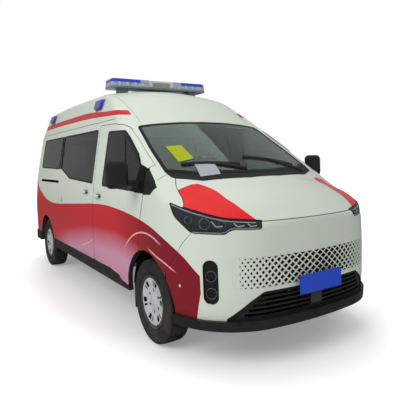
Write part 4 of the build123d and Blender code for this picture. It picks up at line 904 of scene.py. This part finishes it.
for name, side in SIDES:
    place = Vector((MIRROR.x, side * MIRROR.y, MIRROR.z))
    shell = mesh_from("shell", placed(rounded_block((0.102, 0.190, 0.234), 0.044, 6), place))
    whole = arm(side)
    whole.from_mesh(shell)
    bpy.data.meshes.remove(shell)
    mirror = piece(f"mirror_shell_{name}", whole, f"door_front_{name}", black_plastic)
    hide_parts(f"mirror_{name}")
    for label, table in (("foot", FOOT), ("fillet", FILLET)):
        rows = []
        for first, second in zip(table, table[1:]):
            for step in range(4):
                x, low, high = (a + (b - a) * step / 4 for a, b in zip(first, second))
                rows.append([(x, low + (high - low) * k / 12) for k in range(13)])
        rows.append([(table[-1][0],
                      table[-1][1] + (table[-1][2] - table[-1][1]) * k / 12) for k in range(13)])
        piece(f"mirror_{label}_{name}", strip_on_side(side, rows, 0.003, at=1.585), f"door_front_{name}",
              black_plastic, False)
    spot = Vector((1.4472, side * 1.152, 1.412))
    plate = placed(rounded_block((0.003, 0.136, 0.176), 0.0012, 1), spot)
    piece(f"mirror_pane_{name}", plate, f"door_front_{name}", mirror_glass, False)
print("mirrors on")

# %% [markdown]
# ## Lamps
# Behind each headlamp lens sit three round projectors, and painted highlights lie along the lens; each corner
# of the bumper has two round lamps. They are simple turned lenses in chrome rings, set where the solids have
# their bowls. The bowls lie along the corner's diagonal, so the parts are turned to face that way.

# %% Lamp parts
BOWLS = [(1.075, 1.052, 0.046), (1.205, 1.046, 0.031), (0.945, 1.075, 0.031)]     # across, up, radius
FOGS = [(1.113, 0.676, 0.040), (1.113, 0.552, 0.040)]
corner = tree_of("front_bumper", "front_wings", "headlamp_lenses", "fog_trays", "fog_lamps")


def on_corner(side, across, z, depth):
    """A point on a front corner, seen along its diagonal, some way under the skin, and the way out."""
    out = Vector((1, side, 0)).normalized()
    spread = Vector((1, -side, 0)).normalized()
    start = out * 3.2 + spread * across + Vector((0, 0, z))
    hit = corner.ray_cast(start, -out)[0]
    return (hit if hit else out * 2.4 + spread * across + Vector((0, 0, z))) - out * depth, out


def facing(work, spot, out):
    """Turns a piece made about +Y to look along out, and sets it on a spot."""
    return placed(work, spot, Vector((0, 1, 0)).rotation_difference(out))


for name, side in SIDES:
    for number, (across, z, radius) in enumerate(BOWLS, 1):
        # The diagonal runs from the left rear to the right front, so across grows towards the nose.
        spot, out = on_corner(side, across, z, 0.022)
        ring = [(0.0, radius * 0.96), (0.010, radius * 0.96), (0.010, radius * 0.78), (0.0, radius * 0.80)]
        piece(f"projector_ring_{number}_{name}", facing(turned(ring, 40), spot, out), "vehicle", chrome)
        dome = [(0.009, 0.0001), (0.008, radius * 0.3), (0.005, radius * 0.6), (0.0, radius * 0.76),
                (-0.006, radius * 0.76),
                (-0.006, 0.0001)]
        piece(f"projector_{number}_{name}", facing(turned(dome, 40), spot, out), "vehicle", clear_lens)
    for number, (across, z, radius) in enumerate(FOGS, 1):
        spot, out = on_corner(side, across, z, -0.0012)
        ring = [(0.0, radius), (0.003, radius), (0.003, radius * 0.92), (0.0, radius * 0.92)]
        piece(f"fog_ring_{number}_{name}", facing(turned(ring, 40), spot, out), "vehicle", chrome)
print("projectors and rings set")

# %% Painted highlights and hooks on the headlamps
# The brow and the lower line are painted highlights along each headlamp lens, laid just proud of it.
BROW_HIGHLIGHT = [(0.790, 1.182), (0.905, 1.149), (1.037, 1.116), (1.226, 1.075), (1.440, 1.054)]
LIP_HIGHLIGHT = [(0.985, 0.994), (1.222, 0.991), (1.275, 1.024), (1.472, 1.016)]
HOOKS = [[(1.130, 1.074), (1.165, 1.036), (1.215, 1.040)], [(1.290, 1.060), (1.315, 1.036), (1.365, 1.040)],
         [(1.388, 1.052), (1.408, 1.032), (1.450, 1.036)]]


def on_lens(side, points, width, steps):
    """A thin strip along a line of (across, up) on a front corner."""
    rows = along(points, width, steps)
    return sheet([[on_corner(side, across, z, -0.0008)[0] for across, z in row] for row in rows], 0.0006)


for name, side in SIDES:
    for label, line, width, steps in (("brow_highlight", BROW_HIGHLIGHT, 0.006, 24), ("lip_highlight", LIP_HIGHLIGHT, 0.006, 18)):
        piece(f"lamp_{label}_{name}", on_lens(side, line, width, steps), "vehicle", highlight_and_reflector_silver,
              False)
    for number, line in enumerate(HOOKS, 1):
        piece(f"lamp_hook_{number}_{name}", on_lens(side, line, 0.008, 8), "vehicle", siren_plastic,
              False)
print("headlamp lines laid")

# %% [markdown]
# ## Light bar and side lamps
# Under the clear skirt of the bar run bright reflectors. Real ones are moulded bowls; at this size a
# row of small bright domes just proud of the skirt reads as the same glitter. Each blue lamp on the
# roof's slope has a chrome frame.

# %% Light bar fittings
BAR_X, BAR_HALF, BAR_DEPTH = -0.020, 0.650, 0.270
for number, y in enumerate((-0.55, -0.45, -0.35, -0.25, 0.25, 0.35, 0.45, 0.55), 1):
    for label, face in (("front", 1), ("rear", -1)):
        bowl = [(0.0, 0.022), (0.003, 0.021), (0.0035, 0.012), (0.001, 0.0001), (0.0, 0.0001)]
        spot = Vector((BAR_X + face * (BAR_DEPTH / 2 - 0.0035), y, 2.447))
        piece(f"bar_reflector_{label}_{number}", facing(turned(bowl, 24), spot, Vector((face, 0, 0))),
              "vehicle",
              highlight_and_reflector_silver)
for label, face in (("front", 1), ("rear", -1)):
    for row in range(4):
        slat = rounded_block((0.003, 0.24, 0.006), 0.0012, 1)
        spot = Vector((BAR_X + face * 0.1235, 0, 2.437 + row * 0.013))
        piece(f"speaker_slat_{label}_{row + 1}", placed(slat, spot), "vehicle", seam_dark,
              False)
print("light bar fitted")

# %% Frames of the side lamps
ROOF_LAMPS, LAMP_SIZE = [(0.050, 2.180), (-2.130, 2.200)], (0.115, 0.060)
FRAME = ((0.014, 0.001), (0.010, 0.012), (0.001, 0.012), (0.001, 0.001))     # wider than the lamp, lift
lean = (0.862 - 0.700) / (2.360 - 1.915)                                     # of the roof's slope
for name, side in SIDES:
    for number, (x, z) in enumerate(ROOF_LAMPS, 1):
        y = 0.862 - (z - 1.915) * lean
        rise = Vector((0, -side * lean, 1)).normalized()
        out = Vector((0, side, lean)).normalized()
        work = bmesh.new()
        spot = Vector((x, side * y, z))
        loops = [[work.verts.new(spot + Vector((px, 0, 0)) + rise * pz + out * lift)
                  for px, pz in soft_ring(LAMP_SIZE[0] + wider, LAMP_SIZE[1] + wider, 0.35, 32, 0.5)]
                 for wider, lift in FRAME]
        quads(work, loops + loops[:1], ring=True)
        piece(f"lamp_frame_{number}_{name}", work, "vehicle", chrome)
print("lamp frames on")

# %% [markdown]
# ## The perforated nose
# The nose breathes through a lattice of diamond holes that grow from pinpricks at its ends to thin
# bars in the middle. Two hundred booleans would be slow and leave ragged edges. The plane is tiled
# with diamonds instead, and each tile is four quads round its own hole, so the holes and bars come
# out of one loop. The tiles are then carried onto the curve of the nose, measured by rays at the
# solid rim of the CAD grille, and given their thickness.

# %% Lattice tiles
GRILLE_LOW, GRILLE_HIGH, GRILLE_HALF = 0.5855, 0.8095, 0.6995
ROW = (GRILLE_HIGH - GRILLE_LOW) / 8.4
lattice_rim = tree_of("diamond_grille")


def columns_across():
    """Column places from the middle outwards: wide apart in the middle, close at the ends."""
    places, y = [0.0], 0.0
    while y < 0.655:
        y += 0.0355 - 0.0205 * (y / 0.67) ** 1.6
        places.append(y)
    return [-p for p in reversed(places[1:])] + places


def rim_depth(y):
    """How far ahead the solid rim lies at y, at the foot and at the top of the lattice."""
    low, high = (0.5885, 0.8065) if abs(y) < 0.6 else (0.6262, 0.7687)
    foot, top = (lattice_rim.ray_cast(Vector((3.2, y, z)), REARWARD)[0].x for z in (low, high))
    rise = (top - foot) / (high - low)
    return foot - rise * (low - GRILLE_LOW), top + rise * (GRILLE_HIGH - high)


STEP, STEPS = 0.0345, 40
rim_line = [rim_depth((k - STEPS / 2) * STEP) for k in range(STEPS + 1)]


def nose_point(y, z, sink=0.0005):
    """A point of the nose's skin in front of the grille."""
    place = y / STEP + STEPS / 2
    k = max(0, min(STEPS - 1, int(place)))
    share, rise = place - k, (z - GRILLE_LOW) / (GRILLE_HIGH - GRILLE_LOW)
    here, there = (low * (1 - rise) + high * rise for low, high in (rim_line[k], rim_line[k + 1]))
    normal = Vector((STEP, here - there, 0)).normalized()
    return Vector((here * (1 - share) + there * share, y, z)) + normal * (0.008 - sink)


def clamp(value, inset=0.0):
    """Keeps a height within the lattice."""
    return max(GRILLE_LOW + inset, min(GRILLE_HIGH - inset, value))


columns = columns_across()
middle_z = (GRILLE_LOW + GRILLE_HIGH) / 2
work = bmesh.new()
holes = 0
for i in range(1, len(columns) - 1):
    left, here, other = columns[i - 1], columns[i], columns[i + 1]
    size = 0.80 - 0.42 * (abs(here) / 0.66) ** 2.2
    for row in range(-5, 6):
        if (row + i + len(columns) // 2) % 2:
            continue
        z = middle_z + row * ROW
        outer = [(left, z), (here, z - ROW), (other, z), (here, z + ROW)]
        inner = [(here + (py - here) * size, z + (pz - z) * size) for py, pz in outer]
        outer = [work.verts.new(nose_point(py, clamp(pz))) for py, pz in outer]
        inner = [work.verts.new(nose_point(py, clamp(pz, 0.004))) for py, pz in inner]
        for k in range(4):
            m = (k + 1) % 4
            work.faces.new((outer[k], outer[m], inner[m], inner[k]))
        holes += 1
print("holes:", holes)

# %% Lattice to the rim
# Plain strips close the lattice at both ends.
edge = max(abs(place) for place in columns[1:-1])
for side in (-1, 1):
    for k in range(8):
        low, high = (GRILLE_LOW + (GRILLE_HIGH - GRILLE_LOW) * step / 8 for step in (k, k + 1))
        quad = [(side * edge, low), (side * GRILLE_HALF, low), (side * GRILLE_HALF, high),
                (side * edge, high)]
        work.faces.new([work.verts.new(nose_point(py, pz, 0.0012)) for py, pz in quad])
bmesh.ops.remove_doubles(work, verts=work.verts, dist=0.00005)
bmesh.ops.delete(work, geom=[face for face in work.faces if face.calc_area() < 1e-9], context="FACES")
for face in work.faces:
    if face.normal.x < 0:
        face.normal_flip()
bmesh.ops.solidify(work, geom=work.faces[:], thickness=0.007)
lattice = piece("nose_lattice", work, "vehicle", plain_paint, False)
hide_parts("diamond_grille")
print("lattice faces:", len(lattice.data.polygons))

# %% [markdown]
# ## Nose details
# Behind the lattice lies a near-black sheet of painted shade, without which the engine bay would show. A
# small square cover sits in the lower intake, and a round marker in each corner of the bumper.

# %% Nose details
# A near-black sheet behind the lattice: painted shade for the dark inside of the nose.
bumper_face = tree_of("front_bumper")
work = bmesh.new()
shade_rows = []
for k in range(41):
    y = -0.72 + 1.44 * k / 40
    hit = bumper_face.ray_cast(Vector((3.2, y, 0.860)), REARWARD)[0]
    shade_rows.append([work.verts.new((hit.x - 0.040, y, z)) for z in (0.57, 0.64, 0.71, 0.78, 0.825)])
quads(work, shade_rows)
bmesh.ops.recalc_face_normals(work, faces=work.faces)
bmesh.ops.solidify(work, geom=work.faces[:], thickness=0.003)
piece("grille_shade_sheet", work, "vehicle", hole_shade_black, False)
for label, size, at in (("top", (0.0015, 0.440, 0.004), (0, 0.642)),
                        ("foot", (0.0015, 0.440, 0.004), (0, 0.506)),
                        ("right", (0.0015, 0.004, 0.140), (-0.218, 0.574)),
                        ("left", (0.0015, 0.004, 0.140), (0.218, 0.574))):
    edge = placed(rounded_block(size, 0.0005, 1), Vector((2.6752, at[0], at[1])))
    piece(f"plate_edge_{label}", edge, "vehicle", siren_plastic, False)
cover_face = tree_of("lower_intake", "bumper_lip")
hit = cover_face.ray_cast(Vector((3.2, 0.0, 0.455)), REARWARD)[0]
piece("sensor_cover", placed(rounded_block((0.010, 0.115, 0.085), 0.004), hit + Vector((0.004, 0, -0.015))),
      "vehicle", seam_dark)
for name, side in SIDES:
    spot, normal = on_side(side, 2.150, 0.584, 0.0)
    dome = [(0.0, 0.011), (0.004, 0.010), (0.006, 0.005), (0.0065, 0.0001), (0.0, 0.0001)]
    piece(f"corner_marker_{name}", facing(turned(dome, 24), spot, normal), "vehicle", siren_plastic)
print("nose details on")

# %% [markdown]
# ## The tail
# The rear doors carry a handle and two strap hinges each, with a third brake lamp over them and a
# blank plate panel on the right door. All of them are rounded blocks set on the flat door skins.

# %% Tail fittings
tail = {name: tree_of(f"rear_door_{name}", f"side_panel_{name}", "high_roof") for name, _ in SIDES}


def on_tail(name, y, z, lift=0.0):
    return tail[name].ray_cast(Vector((-3.4, y, z)), Vector((1, 0, 0)))[0] - Vector((lift, 0, 0))


for name, side in SIDES:
    for label, z in (("low", 0.70), ("high", 1.30)):
        spot = on_tail(name, side * 0.74, z, 0.0005)
        piece(f"rear_hinge_{label}_{name}", placed(rounded_block((0.006, 0.10, 0.045), 0.0025), spot),
              f"door_rear_{name}", plain_paint)
spot = on_tail("right", -0.075, 1.13, 0.016)
piece("rear_handle", placed(rounded_block((0.022, 0.05, 0.17), 0.009), spot), "door_rear_right",
      black_plastic)
spot = on_tail("right", -0.36, 0.95, 0.003)
piece("rear_plate_panel", placed(rounded_block((0.008, 0.46, 0.16), 0.003, 1), spot), "door_rear_right",
      black_plastic, False)
spot = on_tail("right", -0.01, 2.06, 0.006)
piece("high_brake_lamp", placed(rounded_block((0.016, 0.26, 0.034), 0.006), spot), "vehicle", tail_red)
print("tail fitted")

# %% [markdown]
# ## Cards on the windscreen
# Two blank cards lie on the glass: a yellow one and a white one. They are thin sheets, set just over
# the glass by a ray from above.

# %% Cards
yellow_card = coarse("yellow_card", srgb(222, 232, 30), 100, 0.02, (0.5, 0.6))
white_card = coarse("white_card", srgb(226, 230, 240), 100, 0.02, (0.5, 0.6))
screen = tree_of("windscreen", "cowl_and_sails")


def card(name, material, corners, height=0.004, steps=6):
    """A thin sheet whose corners, seen from above, go round from the top left; it bends over the glass."""
    a, b, c, d = (Vector(corner) for corner in corners)
    rows = []
    for k in range(steps + 1):
        ends = a.lerp(d, k / steps), b.lerp(c, k / steps)
        rows.append([screen.ray_cast(Vector((*end, 3)), DOWN)[0] + Vector((0, 0, height)) for end in ends])
    piece(name, sheet(rows, 0.0008), "vehicle", material, False)


card("card_yellow", yellow_card, [(1.409, -0.641), (1.443, -0.492), (1.662, -0.489), (1.656, -0.642)])
card("card_white", white_card, [(1.715, -0.528), (1.775, -0.348), (1.925, -0.384), (1.895, -0.566)], 0.006)
print("cards in")

# %% [markdown]
# ## Seats
# Each cab seat is a cushion, a back and a headrest. Foam under cloth is a crowned form whose sides
# pull in between its corners. Blender's cloth could inflate it, but a formula does the same for a
# plain pad and always gives the same shape: a fine block, domed towards its middle.

# %% Padded forms
cloth, cloth_tree, cloth_shader = finish("seat_cloth", srgb(58, 60, 64), Sheen_Weight=0.3,
                                         Sheen_Roughness=0.4)
weave = use(cloth_tree, grain, Scale=1400.0, Detail=1.0, Rough_Low=0.75, Rough_High=0.9)
cloth_tree.links.new(weave.outputs["Roughness"], cloth_shader.inputs["Roughness"])
add_relief(cloth_tree, cloth_shader, weave.outputs["Height"], 0.4)
vinyl = coarse("stretcher_vinyl", srgb(226, 132, 52), 500, 0.15, (0.35, 0.5))


def pad(size, crown, pull=0.03, channels=0, cells=28):
    """A stuffed pad about the origin: thick along Z, domed above and below, waisted between its corners."""
    work = bmesh.new()
    bmesh.ops.create_cube(work, size=2.0)
    bmesh.ops.subdivide_edges(work, edges=work.edges[:], cuts=cells, use_grid_fill=True)
    for vert in work.verts:
        x, y, z = vert.co
        round_x = x * (1 - 0.12 * y ** 4 * x * x - 0.10 * z ** 4)
        round_y = y * (1 - 0.12 * x ** 4 * y * y - 0.10 * z ** 4)
        waist_x = 1 - pull * (1 - y * y)
        waist_y = 1 - pull * (1 - x * x)
        dome = (1 - x ** 4) * (1 - y ** 4)
        tall = 0.62 + 0.38 * dome ** 0.5
        if channels and z > 0:
            tall -= 0.07 * (1 - min(1, abs(sin(pi * (x + 1) / 2 * (channels + 1))) * 6)) * (1 - y ** 8)
        vert.co = Vector((round_x * waist_x * size[0] / 2, round_y * waist_y * size[1] / 2,
                          z * tall * size[2] / 2 + crown * dome * (z > 0)))
    return work


# %% Cab seats
SEAT = [                      # pad, size, crown, channels, x, z, lean in degrees, share filled
    ("cushion", (0.50, 0.47, 0.085), 0.012, 2, 0.745, 0.905, -3, 0.8),
    ("back", (0.62, 0.46, 0.095), 0.014, 4, 0.445, 1.235, -101, 0.8),
    ("headrest", (0.16, 0.25, 0.085), 0.006, 0, 0.362, 1.640, -95, 0.9)]
for name, side in SIDES:
    y = side * 0.430
    for label, size, crown, sewn, x, z, angle, fill in SEAT:
        turn = Matrix.Rotation(radians(angle), 3, "Y").to_quaternion()
        work = placed(pad(size, crown, channels=sewn), Vector((x, y, z)), turn)
        soft = piece(f"seat_{label}_{name}", work, "vehicle", cloth)
    box = placed(rounded_block((0.37, 0.37, 0.255), 0.02), Vector((0.730, y, 0.730)))
    seat_box = piece(f"seat_box_{name}", box, "vehicle", dark_plastic)
    for k, shift in enumerate((-0.05, 0.05), 1):
        post = [(-0.07, 0.0001), (-0.07, 0.006), (0.07, 0.006), (0.07, 0.0001)]
        piece(f"headrest_post_{name}_{k}",
              facing(turned(post, 16), Vector((0.372, y + shift, 1.545)), Vector((0, 0, 1))),
              "vehicle", chrome)
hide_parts("cab_seats")
print("seats in")

# %% [markdown]
# ## Stretcher
# A tubular frame on four legs carries a mattress in orange vinyl with sewn channels. The frame is a
# bent tube, made as a curve with a round section and turned into a mesh; the mattress is a long pad.

# %% Stretcher
def tube(points, radius, closed=False):
    """A bent tube through points, as a mesh."""
    line = bpy.data.curves.new("tube", "CURVE")
    line.dimensions = "3D"
    line.bevel_depth, line.bevel_resolution, line.use_fill_caps = radius, 4, True
    spline = line.splines.new("POLY")
    spline.points.add(len(points) - 1)
    for point, place in zip(spline.points, points):
        point.co = (*place, 1)
    spline.use_cyclic_u = closed
    holder = bpy.data.objects.new("tube", line)
    bpy.context.scene.collection.objects.link(holder)
    mesh = bpy.data.meshes.new_from_object(holder.evaluated_get(bpy.context.evaluated_depsgraph_get()))
    bpy.data.objects.remove(holder)
    return mesh


MID_X, MID_Y, LONG, BROAD = -1.475, -0.180, 0.945, 0.255
mattress = piece("stretcher_mattress", placed(pad((1.88, 0.50, 0.078), 0.004, 0.01, channels=5, cells=40),
                 Vector((MID_X, MID_Y, 0.946))), "vehicle", vinyl)
rim = []
for cx, cy, start in ((1, 1, 0), (-1, 1, 90), (-1, -1, 180), (1, -1, 270)):
    for k in range(7):
        a = radians(start + 15 * k)
        rim.append((MID_X + cx * (LONG - 0.06) + 0.06 * cos(a), MID_Y + cy * (BROAD - 0.06) + 0.06 * sin(a),
                    0.880))
frame_tube = piece("stretcher_frame", tube(rim, 0.014, True), "vehicle", chrome)
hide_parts("stretcher")
for k, (x, y) in enumerate(((-2.30, -0.40), (-2.30, 0.04), (-0.70, -0.40), (-0.70, 0.04)), 1):
    piece(f"stretcher_leg_{k}", tube([(x, y, 0.873), (x, y, 0.63)], 0.013), "vehicle", chrome)
for label, y in (("right", -0.380), ("left", 0.020)):
    piece(f"stretcher_runner_{label}", tube([(-2.42, y, 0.632), (-0.57, y, 0.632)], 0.012), "vehicle", chrome)
print("stretcher in")

# %% [markdown]
# ## Floor, light and sky
# A pale floor keeps the shadow. The world and two large soft lamps light the van at a plain level, so
# that a colour looks as it was written. White round the van comes from rays that the camera, a
# reflection or a pane sends out, not from more light on the paint.

# %% Studio
def ray_kind(tree):
    """What kind of ray asks, and 1 for one from the camera or through glass."""
    path = add_node(tree, "ShaderNodeLightPath").outputs
    return path, calc(tree, "MAXIMUM", path["Is Camera Ray"], path["Is Transmission Ray"])


world = bpy.data.worlds.new("studio")
bpy.context.scene.world = world
world.use_nodes = True
tree = world.node_tree
path, seen = ray_kind(tree)
backdrop = tree.nodes["Background"]
backdrop.inputs["Color"].default_value = (1, 1, 1, 1)
# What a glossy surface mirrors is dimmer than what the camera sees, or dark glass would turn pale.
dim = calc(tree, "MULTIPLY", path["Is Glossy Ray"], 0.20)
backdrop_level = calc(tree, "SUBTRACT", ramp(tree, seen, 0.0, 1.0, 0.50, 1.0), dim)
tree.links.new(backdrop_level, backdrop.inputs["Strength"])

floor_mesh = bpy.data.meshes.new("floor")
floor_mesh.from_pydata([(-30, -30, 0), (30, -30, 0), (30, 30, 0), (-30, 30, 0)], [], [(0, 1, 2, 3)])
floor = bpy.data.objects.new("floor", floor_mesh)
bpy.context.scene.collection.objects.link(floor)
pale, tree, shader = finish("pale_floor", srgb(236, 236, 236), Roughness=0.9)
shader.inputs["Specular IOR Level"].default_value = 0.1
path, seen = ray_kind(tree)
tree.links.new(blend(tree, seen, (0, 0, 0, 1), (1, 1, 1, 1)), shader.inputs["Emission Color"])
tree.links.new(blend(tree, path["Is Glossy Ray"], srgb(236, 236, 236), srgb(120, 120, 120)),
               shader.inputs["Base Color"])
place = add_node(tree, "ShaderNodeTexCoord").outputs["Object"]
squeeze = add_node(tree, "ShaderNodeVectorMath", {0: place, 1: (0.55, 1.0, 0.0)},
                   operation="MULTIPLY").outputs[0]
away = add_node(tree, "ShaderNodeVectorMath", {0: squeeze}, operation="LENGTH").outputs["Value"]
tree.links.new(ramp(tree, away, 1.3, 2.6, 0.25, 1.0), shader.inputs["Emission Strength"])
floor_mesh.materials.append(pale)


def soft_lamp(name, spot, target, size, watts):
    light = bpy.data.lights.new(name, "AREA")
    light.shape, light.size, light.energy = "DISK", size, watts
    lamp = bpy.data.objects.new(name, light)
    bpy.context.scene.collection.objects.link(lamp)
    lamp.location = spot
    lamp.rotation_euler = (Vector(target) - Vector(spot)).to_track_quat("-Z", "Y").to_euler()
    lamp.visible_glossy = False


soft_lamp("key", (3.5, -7.0, 6.0), (0.4, 0, 1.0), 5.0, 290)
soft_lamp("top", (-1.0, 1.0, 8.0), (0.0, 0, 1.0), 6.0, 235)
bpy.context.scene.view_settings.view_transform = "Standard"
print("studio ready")
